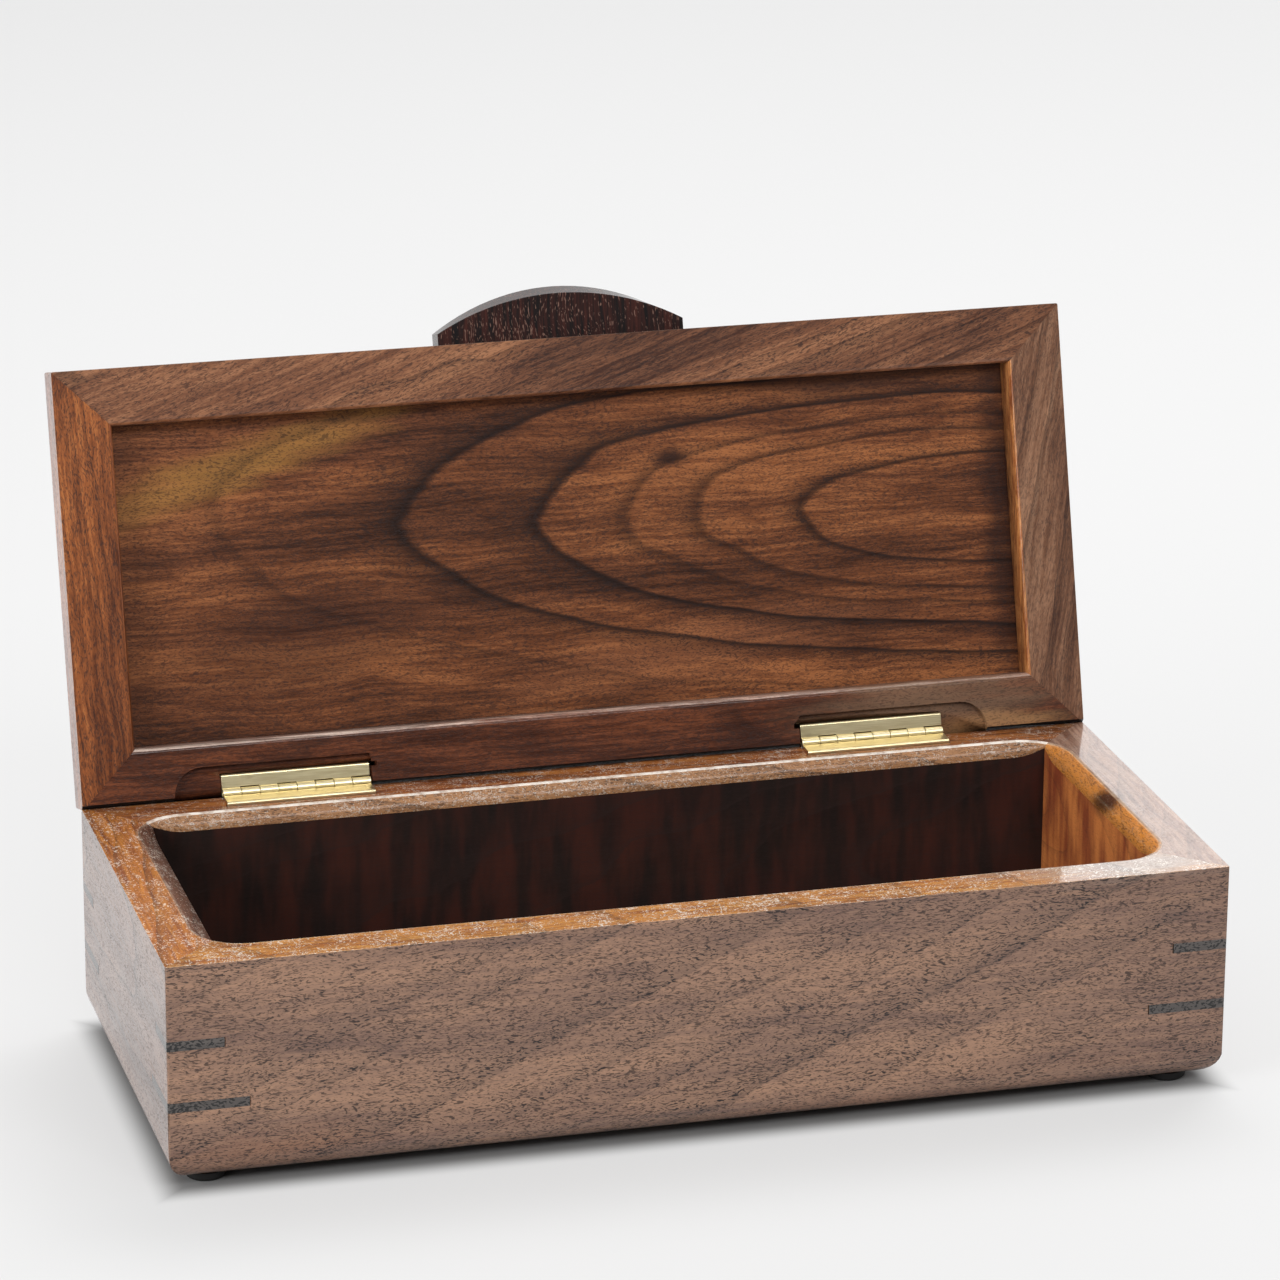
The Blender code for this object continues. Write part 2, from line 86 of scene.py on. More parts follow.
def srgb(red: int, green: int, blue: int) -> Colour:
    """Turn a display colour into a linear one.

    Args:
        red: Red, 0 to 255.
        green: Green, 0 to 255.
        blue: Blue, 0 to 255.

    Returns:
        The linear colour.
    """
    parts = []
    for part in (red, green, blue):
        value = part / 255
        parts.append(value / 12.92 if value <= 0.04045 else ((value + 0.055) / 1.055) ** 2.4)
    return tuple(parts)


# ------------------------------------------------------------------ node wiring


class Web:
    """A node tree being wired, with short ways to add the nodes that the finishes use."""

    def __init__(self, tree: bpy.types.NodeTree) -> None:
        """Keep the tree that is wired."""
        self.tree = tree

    def node(self, kind: str, inputs: dict, **settings: object) -> bpy.types.Node:
        """Add a node, set it up and wire its inputs.

        Args:
            kind: The node's type, without the leading ShaderNode.
            inputs: Value or socket for each input name or number.
            **settings: The node's own properties.

        Returns:
            The node.
        """
        made = self.tree.nodes.new("ShaderNode" + kind)
        for key, value in settings.items():
            setattr(made, key, value)
        for key, value in inputs.items():
            if isinstance(value, Socket):
                self.tree.links.new(value, made.inputs[key])
            else:
                made.inputs[key].default_value = value
        return made

    def math(self, operation: str, first: object, second: object = 0.0) -> Socket:
        """Return the result of a Math node."""
        return self.node("Math", {0: first, 1: second}, operation=operation).outputs[0]

    def times(self, first: object, second: object) -> Socket:
        """Multiply two values."""
        return self.math("MULTIPLY", first, second)

    def plus(self, first: object, second: object) -> Socket:
        """Add two values."""
        return self.math("ADD", first, second)

    def minus(self, first: object, second: object) -> Socket:
        """Take the second value from the first."""
        return self.math("SUBTRACT", first, second)

    def larger(self, first: object, second: object) -> Socket:
        """Return the larger of two values."""
        return self.math("MAXIMUM", first, second)

    def on_vectors(self, operation: str, *vectors: object) -> Socket:
        """Return the vector result of a Vector Math node."""
        return self.node("VectorMath", dict(enumerate(vectors)), operation=operation).outputs[0]

    def parts(self, vector: Socket) -> bpy.types.bpy_prop_collection:
        """Split a vector into its three values."""
        return self.node("SeparateXYZ", {0: vector}).outputs

    def mix(self, amount: object, first: object, second: object,
            blend: str = "MIX") -> Socket:
        """Mix two colours.

        Args:
            amount: How much of the second shows.
            first: Colour or socket.
            second: Colour or socket.
            blend: Blend type.

        Returns:
            The mixed colour.
        """
        inputs = {0: amount, 6: self.opaque(first), 7: self.opaque(second)}
        return self.node("Mix", inputs, data_type="RGBA", blend_type=blend).outputs[2]

    @staticmethod
    def opaque(colour: object) -> object:
        """Give a plain colour its alpha, and pass a socket on."""
        return colour if isinstance(colour, Socket) else (*colour, 1.0)

    def smooth_step(self, value: object, low: float, high: float, start: float = 0.0,
                    end: float = 1.0) -> Socket:
        """Rise smoothly from start to end while the value goes from low to high.

        Args:
            value: Value or socket.
            low: Where the rise starts.
            high: Where it ends.
            start: Result below low.
            end: Result above high.

        Returns:
            The result.
        """
        inputs = {0: value, 1: low, 2: high, 3: start, 4: end}
        return self.node("MapRange", inputs, interpolation_type="SMOOTHSTEP").outputs[0]

    def stretched(self, vector: Socket, scale: tuple, shift: object = None) -> Socket:
        """Scale a vector by axis and shift it.

        Args:
            vector: The vector.
            scale: Factor on each axis, as numbers or sockets.
            shift: Vector to add, or a value to add on every axis.

        Returns:
            The new vector.
        """
        factors = self.node("CombineXYZ", dict(enumerate(scale))).outputs[0]
        scaled = self.on_vectors("MULTIPLY", vector, factors)
        return scaled if shift is None else self.on_vectors("ADD", scaled, shift)

    def sheared(self, vector: Socket, slope: object) -> Socket:
        """Slide a vector across its grain by a share of its place along it."""
        parts = self.parts(vector)
        across = self.minus(parts[1], self.times(parts[0], slope))
        return self.node("CombineXYZ", {0: parts[0], 1: across, 2: parts[2]}).outputs[0]

    def noise(self, vector: Socket, scale: tuple, shift: object = None, detail: float = 2.0,
              roughness: float = 0.5, distortion: float = 0.0) -> bpy.types.bpy_prop_collection:
        """Lay noise over a vector.

        Args:
            vector: The vector.
            scale: Bumps per unit on each axis.
            shift: Added to the scaled vector, so that each board has its own noise.
            detail: Layers of finer noise.
            roughness: Strength of the finer layers.
            distortion: How far the noise is curled.

        Returns:
            The noise's value and colour.
        """
        inputs = {"Vector": self.stretched(vector, scale, shift), "Scale": 1.0, "Detail": detail,
                  "Roughness": roughness, "Distortion": distortion}
        return self.node("TexNoise", inputs).outputs

    def bent(self, vector: Socket, noise: Socket, reach: float) -> Socket:
        """Bend a vector across its grain by a noise's colour."""
        return self.on_vectors("MULTIPLY_ADD", noise, (0.0, reach, reach), vector)

    def ramp(self, value: object, stops: Iterable[tuple[float, Colour]]) -> Socket:
        """Colour a value by a ramp.

        Args:
            value: Value from 0 to 1.
            stops: Position and colour of each stop, in order.

        Returns:
            The colour.
        """
        made = self.node("ValToRGB", {0: value})
        elements = made.color_ramp.elements
        stops = list(stops)
        while len(elements) < len(stops):
            elements.new(1.0)
        for element, (position, colour) in zip(elements, stops):
            element.position = position
            element.color = (*colour, 1.0)
        return made.outputs[0]

    def attribute(self, name: str) -> Socket:
        """Read a value that the mesh carries."""
        return self.node("Attribute", {}, attribute_name=name).outputs["Fac"]

    def surface(self, colour: Socket, gloss: Socket, height: Socket, strength: float,
                depth: float) -> bpy.types.bpy_prop_collection:
        """Give the material its colour, roughness and relief.

        Args:
            colour: The colour.
            gloss: The roughness.
            height: The relief, 0 to 1.
            strength: How strongly the relief shows.
            depth: The relief's depth in millimetres.

        Returns:
            The shader's inputs.
        """
        bump = self.node("Bump", {"Strength": strength, "Distance": depth * MM, "Height": height})
        inputs = self.tree.nodes["Principled BSDF"].inputs
        for label, socket in (("Base Color", colour), ("Roughness", gloss), ("Normal", bump.outputs[0])):
            self.tree.links.new(socket, inputs[label])
        return inputs


def new_material(name: str) -> tuple[bpy.types.Material, Web]:
    """Start a material, with a web for its nodes."""
    made = bpy.data.materials.new(name)
    made.use_nodes = True
    return made, Web(made.node_tree)


class SharedGroup:
    """A shader node group with named sockets, made once and placed in many materials."""

    def __init__(self, name: str, inputs: dict[str, object], outputs: Iterable[str]) -> None:
        """Start the group.

        Args:
            name: The group's name.
            inputs: Default of each input; a tuple makes it a vector.
            outputs: Names of the value outputs.
        """
        tree = bpy.data.node_groups.new(name, "ShaderNodeTree")
        for label, default in inputs.items():
            kind = "NodeSocketVector" if isinstance(default, tuple) else "NodeSocketFloat"
            tree.interface.new_socket(label, in_out="INPUT", socket_type=kind).default_value = default
        for label in outputs:
            tree.interface.new_socket(label, in_out="OUTPUT", socket_type="NodeSocketFloat")
        self.web = Web(tree)
        self.inputs = tree.nodes.new("NodeGroupInput").outputs
        self.results = tree.nodes.new("NodeGroupOutput").inputs

    def give(self, label: str, socket: Socket) -> None:
        """Wire a result to an output."""
        self.web.tree.links.new(socket, self.results[label])

    def place(self, web: Web, inputs: dict[str, object]) -> bpy.types.bpy_prop_collection:
        """Place the group in a material.

        Args:
            web: The material's web.
            inputs: Value or socket for each named input.

        Returns:
            The group's outputs.
        """
        return web.node("Group", inputs, node_tree=self.web.tree).outputs


class GrainGroups:
    """The shared effects of all the wood finishes; vectors are in millimetres, X along the grain."""

    def __init__(self) -> None:
        """Build every group."""
        self.rings = self.build_rings()
        self.fibre = self.build_fibre()
        self.pores = self.build_pores()
        self.patch = self.build_patch()
        self.rub_and_highlight = self.build_rub_and_highlight()
        self.glint = self.build_glint()

    @staticmethod
    def build_rings() -> SharedGroup:
        """Growth rings of a log whose pith lies beside the board and drifts along it."""
        group = SharedGroup("growth_rings", {
            "Vector": ORIGIN, "Pith Across": 0.0, "Pith Depth": 30.0, "Drift Across": 0.0,
            "Drift Depth": 0.1, "Waver": 4.0, "Ring Width": 7.0, "Seed": 0.0,
        }, ["Radius", "Band", "Line"])
        web, given = group.web, group.inputs
        slow = web.noise(given["Vector"], (0.012, 0.03, 0.03), given["Seed"], 2.0)
        quick = web.noise(given["Vector"], (0.05, 0.16, 0.16), given["Seed"], 3.0)
        parts = web.parts(given["Vector"])
        across = web.minus(parts[1], given["Pith Across"])
        across = web.minus(across, web.times(parts[0], given["Drift Across"]))
        depth = web.plus(parts[2], given["Pith Depth"])
        depth = web.minus(depth, web.times(parts[0], given["Drift Depth"]))
        sway = web.times(web.minus(slow[0], 0.5), given["Waver"])
        shiver = web.times(web.minus(quick[0], 0.5), given["Waver"])
        around = web.plus(web.times(across, across), web.times(depth, depth))
        radius = web.math("SQRT", around)
        radius = web.plus(radius, web.times(sway, 2.2))
        radius = web.plus(radius, web.times(shiver, 0.35))
        group.give("Radius", radius)
        turns = web.math("DIVIDE", radius, given["Ring Width"])
        uneven = web.node("TexNoise", {"W": web.times(turns, 0.6), "Scale": 1.0},
                          noise_dimensions="1D").outputs[0]
        turns = web.plus(turns, web.times(uneven, 1.6))
        phase = web.math("FRACT", turns)
        year = web.node("TexWhiteNoise", {"W": web.math("FLOOR", turns)}, noise_dimensions="1D").outputs[0]
        strength = web.plus(web.times(year, 0.75), 0.25)
        onset = web.smooth_step(phase, 0.96, 1.0)
        band = web.math("POWER", web.minus(1.0, phase), 2.2)
        group.give("Band", web.times(web.larger(band, onset), strength))
        line = web.larger(web.smooth_step(phase, 0.0, 0.12, 1.0, 0.0), onset)
        group.give("Line", web.times(line, strength))
        return group

    @staticmethod
    def build_fibre() -> SharedGroup:
        """Broad changes of tone and fine streaks along the grain."""
        group = SharedGroup("wood_fibre", {"Vector": ORIGIN, "Seed": 0.0},
                            ["Tone", "Streak", "Fleck"])
        web, given = group.web, group.inputs
        bend = web.noise(given["Vector"], (0.03, 0.05, 0.05), given["Seed"], 1.0)
        swayed = web.bent(given["Vector"], bend[1], 5.0)
        tone = web.noise(swayed, (0.009, 0.055, 0.055), given["Seed"], 3.0, 0.55)
        streak = web.noise(swayed, (0.03, 0.75, 0.75), given["Seed"], 4.0, 0.65)
        fleck = web.noise(swayed, (0.45, 1.9, 1.9), given["Seed"], 2.0, 0.6)
        group.give("Tone", web.smooth_step(tone[0], 0.28, 0.72))
        group.give("Streak", web.smooth_step(streak[0], 0.3, 0.7))
        group.give("Fleck", web.smooth_step(fleck[0], 0.3, 0.7))
        return group

    @staticmethod
    def build_pores() -> SharedGroup:
        """Open pores: short dashes along the grain, of uneven size, that lean with the fibre."""
        group = SharedGroup("open_pores", {"Vector": ORIGIN, "Length": 3.0, "Width": 0.8,
                                           "Fill": 0.5, "Seed": 0.0}, ["Mask"])
        web, given = group.web, group.inputs
        lean = web.noise(given["Vector"], (0.05, 0.07, 0.07), given["Seed"], 2.0)
        leaned = web.bent(given["Vector"], lean[1], 9.0)
        along = web.math("DIVIDE", 1.0, given["Length"])
        across = web.math("DIVIDE", 1.0, given["Width"])
        dashes = web.noise(leaned, (along, across, across), given["Seed"], 1.0, 0.5)
        clump = web.noise(leaned, (0.07, 0.16, 0.16), given["Seed"], 2.0)
        level = web.plus(dashes[0], web.times(clump[0], 0.2))
        level = web.plus(level, web.times(given["Fill"], 0.2))
        group.give("Mask", web.smooth_step(level, 0.76, 0.84))
        return group

    @staticmethod
    def build_patch() -> SharedGroup:
        """A soft-edged stretch of the board, drawn out along the grain."""
        group = SharedGroup("board_patch", {"Vector": ORIGIN, "Centre": (0.0, 0.0, 0.0),
                                            "Reach": (40.0, 10.0, 40.0), "Slope": 0.0}, ["Mask"])
        web, given = group.web, group.inputs
        ragged = web.noise(given["Vector"], (0.04, 0.22, 0.22), None, 3.0)[0]
        turned = web.sheared(web.on_vectors("SUBTRACT", given["Vector"], given["Centre"]), given["Slope"])
        share = web.on_vectors("DIVIDE", turned, given["Reach"])
        away = web.node("VectorMath", {0: share}, operation="LENGTH").outputs["Value"]
        away = web.plus(away, web.times(web.minus(ragged, 0.5), 0.9))
        group.give("Mask", web.smooth_step(away, 0.25, 1.0, 1.0, 0.0))
        return group

    @staticmethod
    def build_rub_and_highlight() -> SharedGroup:
        """Edges rubbed by sanding and handling and lit as a painted highlight, broken up along their length.
        """
        group = SharedGroup("rubbed_and_highlit_edges", {"Vector": ORIGIN, "Amount": 1.0}, ["Mask"])
        web, given = group.web, group.inputs
        broken = web.noise(given["Vector"], (0.25, 0.25, 0.25), None, 4.0, 0.6)[0]
        amount = web.times(web.smooth_step(broken, 0.3, 0.6, 0.35, 1.0), given["Amount"])
        group.give("Mask", web.times(web.attribute("arris"), amount))
        return group

    @staticmethod
    def build_glint() -> SharedGroup:
        """Pale curls where short grain catches the light."""
        group = SharedGroup("grain_glints", {"Vector": ORIGIN, "Size": 3.0, "Seed": 0.0}, ["Mask"])
        web, given = group.web, group.inputs
        fine = web.math("DIVIDE", 1.0, given["Size"])
        coarse = web.times(fine, 0.14)
        curl = web.noise(given["Vector"], (fine, fine, fine), given["Seed"], 2.0, 0.5, 1.4)
        spread = web.noise(given["Vector"], (coarse, coarse, coarse), given["Seed"], 2.0)
        level = web.plus(curl[0], web.times(spread[0], 0.35))
        group.give("Mask", web.smooth_step(level, 0.74, 0.82))
        return group


# ------------------------------------------------------------------ finishes


LID_TILT = 16.0 - 90.0  # the open lid leans 16 degrees past upright


class Turn(Enum):
    """How a board's grain runs: turns about X and Z that bring it along X, its face across Y."""

    ALONG_X_FACE_FRONT = (-90.0, 0.0)
    ALONG_Y_FACE_SIDE = (-90.0, 90.0)
    ALONG_X_FACE_UP = (0.0, 0.0)
    LID_RAIL = (LID_TILT, 0.0)
    LID_STILE = (LID_TILT, -90.0)


@dataclass(frozen=True)
class Board:
    """Where a board lies, so that its grain can follow it."""

    turn: Turn
    centre: Vector
    lean: float = 0.0

    def vector(self, web: Web) -> Socket:
        """Return the board's own coordinates in millimetres.

        Args:
            web: The material's web.

        Returns:
            A vector, X along the grain, Y across the face and Z into the board.
        """
        tilt, swing = (math.radians(angle) for angle in self.turn.value)
        if self.turn is Turn.ALONG_Y_FACE_SIDE:
            # along Y first, then the face upright
            turned = Matrix.Rotation(tilt, 3, "X") @ Matrix.Rotation(-swing, 3, "Z")
        else:
            turned = Matrix.Rotation(swing, 3, "Z") @ Matrix.Rotation(tilt, 3, "X")
        centred = turned @ self.centre / MM
        coordinates = web.node("TexCoord", {}).outputs["Object"]
        inputs = {"Vector": coordinates, "Location": -centred, "Rotation": turned.to_euler(),
                  "Scale": (1 / MM, 1 / MM, 1 / MM)}
        straight = web.node("Mapping", inputs, vector_type="POINT").outputs[0]
        return web.sheared(straight, self.lean) if self.lean else straight


@dataclass(frozen=True)
class Log:
    """The log a board was sawn from: pith place and drift, ring spacing, waver, in millimetres."""

    across: float = 0.0
    depth: float = 30.0
    drift_across: float = 0.0
    drift_depth: float = 0.1
    ring_width: float = 7.0
    waver: float = 4.0


@dataclass(frozen=True)
class Patch:
    """A stretch of a board with its own colour, such as a knot or figure, or with painted shade or
    reflection, in board millimetres.
    """

    colour: Colour
    centre: tuple[float, float, float]
    reach: tuple[float, float, float]
    slope: float = 0.0
    amount: float = 0.7


@dataclass(frozen=True)
class Walnut:
    """Oiled black walnut under a satin lacquer."""

    name: str
    board: Board
    log: Log = field(default_factory=Log)
    light: Colour = srgb(150, 106, 78)
    middle: Colour = srgb(122, 84, 62)
    dark: Colour = srgb(84, 54, 40)
    line: Colour = srgb(40, 24, 20)
    pore: Colour = srgb(40, 26, 24)
    glint: Colour = srgb(226, 218, 206)
    # painted light: the tint that the rim's upper faces and the lid's reveals take where light falls on them,
    # a painted reflection or highlight on some boards
    painted_rim_light: Colour = srgb(214, 146, 84)
    # painted light and shade on the inside faces: a lit tone and a shaded tone, mottled together
    painted_inside_light: Colour = srgb(84, 48, 32)
    painted_inside_shade: Colour = srgb(44, 24, 17)
    band_amount: float = 0.35
    line_amount: float = 0.55
    pore_amount: float = 0.8
    pore_length: float = 1.5
    pore_fill: float = 0.5
    painted_rim_amount: float = 0.75
    painted_inside_amount: float = 0.85
    # painted light and shade on the mouth's bevel, lighter or darker wall by wall as the light falls on it
    painted_bevel_shading: Colour = srgb(176, 140, 100)
    # real rubbing of the edges and a painted highlight along them, near white on the back wall's mouth
    edge_rub_and_highlight: Colour = srgb(228, 200, 168)
    edge_rub_and_highlight_amount: float = 0.35
    # painted shade on the bevel that stops the lid, near black as the gap there lies in shade
    painted_gap_shade: Colour = srgb(14, 8, 7)
    painted_bevel_amount: float = 0.0
    glint_amount: float = 0.0
    sheen: float = 0.9
    rim_dullness: float = 0.0
    mirror: float = 0.3
    rings: tuple[tuple[float, float, float], ...] = ()
    patches: tuple[Patch, ...] = ()
    roughness: float = 0.36
    seed: float = 0.0

    def material(self, groups: GrainGroups) -> bpy.types.Material:
        """Build the material.

        Args:
            groups: The shared grain effects.

        Returns:
            The material.
        """
        made, web = new_material(self.name)
        place = self.board.vector(web)
        rings = groups.rings.place(web, {
            "Vector": place, "Pith Across": self.log.across, "Pith Depth": self.log.depth,
            "Drift Across": self.log.drift_across, "Drift Depth": self.log.drift_depth,
            "Waver": self.log.waver, "Ring Width": self.log.ring_width, "Seed": self.seed})
        band, line = rings["Band"], rings["Line"]
        if self.rings:
            band, line = self.drawn_rings(web, rings["Radius"])
        fibre = groups.fibre.place(web, {"Vector": place, "Seed": self.seed + 3.0})
        long_pores = groups.pores.place(web, {
            "Vector": place, "Length": self.pore_length * 1.5, "Width": 0.5, "Fill": self.pore_fill - 0.15,
            "Seed": self.seed})["Mask"]
        short_pores = groups.pores.place(web, {
            "Vector": place, "Length": self.pore_length, "Width": 0.36, "Fill": self.pore_fill,
            "Seed": self.seed + 9.0})["Mask"]
        tone = web.plus(web.times(fibre["Tone"], 0.5),
                        web.times(fibre["Streak"], 0.32))
        tone = web.plus(tone, web.times(fibre["Fleck"], 0.18))
        colour = web.ramp(tone, [(0.15, self.dark), (0.5, self.middle), (0.85, self.light)])
        # painted light on the rim and the reveals, tinted and streaked lighter
        rim = web.times(web.attribute("rim_face"), self.painted_rim_amount)
        colour = web.mix(rim, colour, web.mix(1.0, colour, self.painted_rim_light, "SOFT_LIGHT"))
        streaked_rim_light = web.mix(web.times(fibre["Streak"], 0.75), colour, self.painted_rim_light)
        colour = web.mix(rim, colour, streaked_rim_light)
        # painted light and shade on the inside faces
        inside = web.times(web.attribute("inner_face"), self.painted_inside_amount)
        inside_shading_noise = web.noise(place, (0.1, 0.02, 0.05), (self.seed,) * 3, 3.0, 0.6)[0]
        inside_light_and_shade = web.mix(web.smooth_step(inside_shading_noise, 0.33, 0.67), self.painted_inside_shade, self.painted_inside_light)
        colour = web.mix(inside, colour, inside_light_and_shade)
        # painted light and shade on the mouth's bevel
        bevel = web.times(web.attribute("bevel_face"), self.painted_bevel_amount)
        bevel_light_and_shade = web.mix(web.times(fibre["Streak"], 0.35), self.painted_bevel_shading, self.middle)
        colour = web.mix(bevel, colour, bevel_light_and_shade)
        for patch in self.patches:
            mask = groups.patch.place(web, {"Vector": place, "Centre": patch.centre,
                                            "Reach": patch.reach, "Slope": patch.slope})["Mask"]
            colour = web.mix(web.times(mask, patch.amount), colour, patch.colour)
        fade = web.plus(web.times(fibre["Fleck"], 0.5), 0.5)
        colour = web.mix(web.times(band, self.band_amount), colour, self.line)
        line = web.times(web.times(line, fade), self.line_amount)
        colour = web.mix(line, colour, self.line)
        pores = web.larger(long_pores, web.times(short_pores, 0.85))
        rich = web.plus(web.times(band, 0.35), 0.75)
        plain = web.plus(web.times(web.attribute("rim_face"), 0.45),
                         web.times(web.attribute("inner_face"), 0.6))
        pores = web.times(pores, web.minus(1.0, plain))
        stain = web.times(web.times(pores, rich), self.pore_amount)
        colour = web.mix(stain, colour, self.pore)
        # rubbed edges and a painted highlight along them
        rub_and_highlight = groups.rub_and_highlight.place(web, {"Vector": place, "Amount": self.edge_rub_and_highlight_amount})["Mask"]
        colour = web.mix(rub_and_highlight, colour, self.edge_rub_and_highlight)
        # painted shade on the stop bevel, where the gap between lid and case lies in shade
        colour = web.mix(web.attribute("stop_shade_face"), colour, self.painted_gap_shade)
        shown = web.larger(web.attribute("rim_face"), web.attribute("bevel_face"))
        glint = groups.glint.place(web, {"Vector": place, "Size": 0.9, "Seed": self.seed})["Mask"]
        glint = web.times(web.times(glint, shown), self.glint_amount)
        colour = web.mix(glint, colour, self.glint)
        gloss = web.plus(web.times(fibre["Streak"], 0.10), self.roughness - 0.05)
        gloss = web.plus(gloss, web.times(pores, 0.22))
        gloss = web.larger(gloss, web.times(web.attribute("inner_face"), 0.8))
        gloss = web.larger(gloss, web.times(shown, self.rim_dullness * 0.7))
        height = web.minus(web.times(fibre["Fleck"], 0.25), pores)
        shader = web.surface(colour, gloss, height, 0.35, 0.06)
        dulled = web.larger(web.times(pores, 0.5),
                          web.times(web.attribute("inner_face"), 0.95))
        dulled = web.larger(dulled, web.times(web.attribute("bevel_face"), 0.6))
        dulled = web.larger(dulled, web.attribute("stop_shade_face"))
        dulled = web.larger(dulled, web.times(shown, self.rim_dullness))
        coat = web.times(web.minus(1.0, dulled), self.sheen)
        web.tree.links.new(coat, shader["Coat Weight"])
        shader["Coat Roughness"].default_value = COAT_ROUGHNESS
        shader["Specular IOR Level"].default_value = self.mirror
        return made

    def drawn_rings(self, web: Web, radius: Socket) -> tuple:
        """Place named rings by their radius, each with a sharp inner side and a soft outer one.

        Args:
            web: The material's web.
            radius: Distance from the pith in millimetres.

        Returns:
            The band and the line masks.
        """
        reach = self.rings[-1][0] + 20.0
        share = web.math("DIVIDE", radius, reach)
        soft, thin = [(0.0, (0.0,) * 3)], [(0.0, (0.0,) * 3)]
        for ring, strength, softness in self.rings:
            soft += [((ring - 0.5) / reach, (0.0,) * 3), (ring / reach, (strength,) * 3),
                     ((ring + softness) / reach, (0.0,) * 3)]
            thin += [((ring - 0.5) / reach, (0.0,) * 3), ((ring + 0.2) / reach, (strength,) * 3),
                     ((ring + 1.2) / reach, (0.0,) * 3)]
        return web.ramp(share, soft), web.ramp(share, thin)


@dataclass(frozen=True)
class Blackwood:
    """Dense near-black wood with fine red-brown lines and pale filled pores."""

    name: str
    board: Board
    ground: Colour
    stripe: Colour
    speck: Colour
    stripe_amount: float = 0.5
    speck_size: tuple[float, float] = (1.1, 0.6)
    speck_fill: float = 0.85
    roughness: float = 0.42
    sheen: float = 0.9
    mirror: float = 0.15
    seed: float = 0.0

    def material(self, groups: GrainGroups) -> bpy.types.Material:
        """Build the material.

        Args:
            groups: The shared grain effects.

        Returns:
            The material.
        """
        made, web = new_material(self.name)
        place = self.board.vector(web)
        fibre = groups.fibre.place(web, {"Vector": place, "Seed": self.seed})
        length, width = self.speck_size
        pores = groups.pores.place(web, {"Vector": place, "Length": length, "Width": width,
                                         "Fill": self.speck_fill, "Seed": self.seed})["Mask"]
        stripes = web.times(web.math("POWER", fibre["Streak"], 1.6), self.stripe_amount)
        colour = web.mix(stripes, self.ground, self.stripe)
        colour = web.mix(pores, colour, self.speck)
        gloss = web.plus(web.times(pores, 0.2), self.roughness)
        height = web.minus(web.times(fibre["Streak"], 0.4), pores)
        shader = web.surface(colour, gloss, height, 0.4, 0.06)
        shader["Coat Weight"].default_value = self.sheen
        shader["Coat Roughness"].default_value = COAT_ROUGHNESS
        shader["Specular IOR Level"].default_value = self.mirror
        return made


@dataclass(frozen=True)
class Brass:
    """Satin brass with fine drawn lines along its length."""

    name: str = "satin_brass"
    bright: Colour = srgb(253, 240, 200)
    dull: Colour = srgb(235, 218, 168)
    tarnish: Colour = srgb(192, 170, 124)

    def material(self, groups: GrainGroups) -> bpy.types.Material:
        """Build the material.

        Args:
            groups: The shared grain effects.

        Returns:
            The material.
        """
        made, web = new_material(self.name)
        place = Board(Turn.ALONG_X_FACE_UP, Vector()).vector(web)
        drawn = web.noise(place, (0.12, 9.0, 9.0), None, 3.0, 0.6)[0]
        cloud = web.noise(place, (0.15, 0.3, 0.3), None, 3.0)[0]
        colour = web.mix(web.smooth_step(drawn, 0.35, 0.65), self.dull, self.bright)
        colour = web.mix(web.smooth_step(cloud, 0.55, 0.8, 0.0, 0.4), colour, self.tarnish)
        # rubbed edges and a painted highlight along them
        rub_and_highlight = groups.rub_and_highlight.place(web, {"Vector": place, "Amount": 0.8})["Mask"]
        colour = web.mix(rub_and_highlight, colour, self.bright)
        gloss = web.smooth_step(drawn, 0.3, 0.7, 0.3, 0.42)
        shader = web.surface(colour, gloss, drawn, 0.25, 0.02)
        shader["Metallic"].default_value = 1.0
        return made


@dataclass(frozen=True)
class Rubber:
    """Matt black rubber with a dusty bloom."""

    name: str = "black_rubber"
    ground: Colour = srgb(12, 11, 11)
    bloom: Colour = srgb(44, 42, 41)

    def material(self) -> bpy.types.Material:
        """Return the material, clouded by a fine noise."""
        made, web = new_material(self.name)
        place = Board(Turn.ALONG_X_FACE_UP, Vector()).vector(web)
        grit = web.noise(place, (2.0, 2.0, 2.0), None, 4.0, 0.7)[0]
        colour = web.mix(web.smooth_step(grit, 0.4, 0.8, 0.0, 0.7), self.ground, self.bloom)
        web.surface(colour, web.smooth_step(grit, 0.3, 0.7, 0.6, 0.8), grit, 0.4, 0.08)
        return made


# ------------------------------------------------------------------ pieces


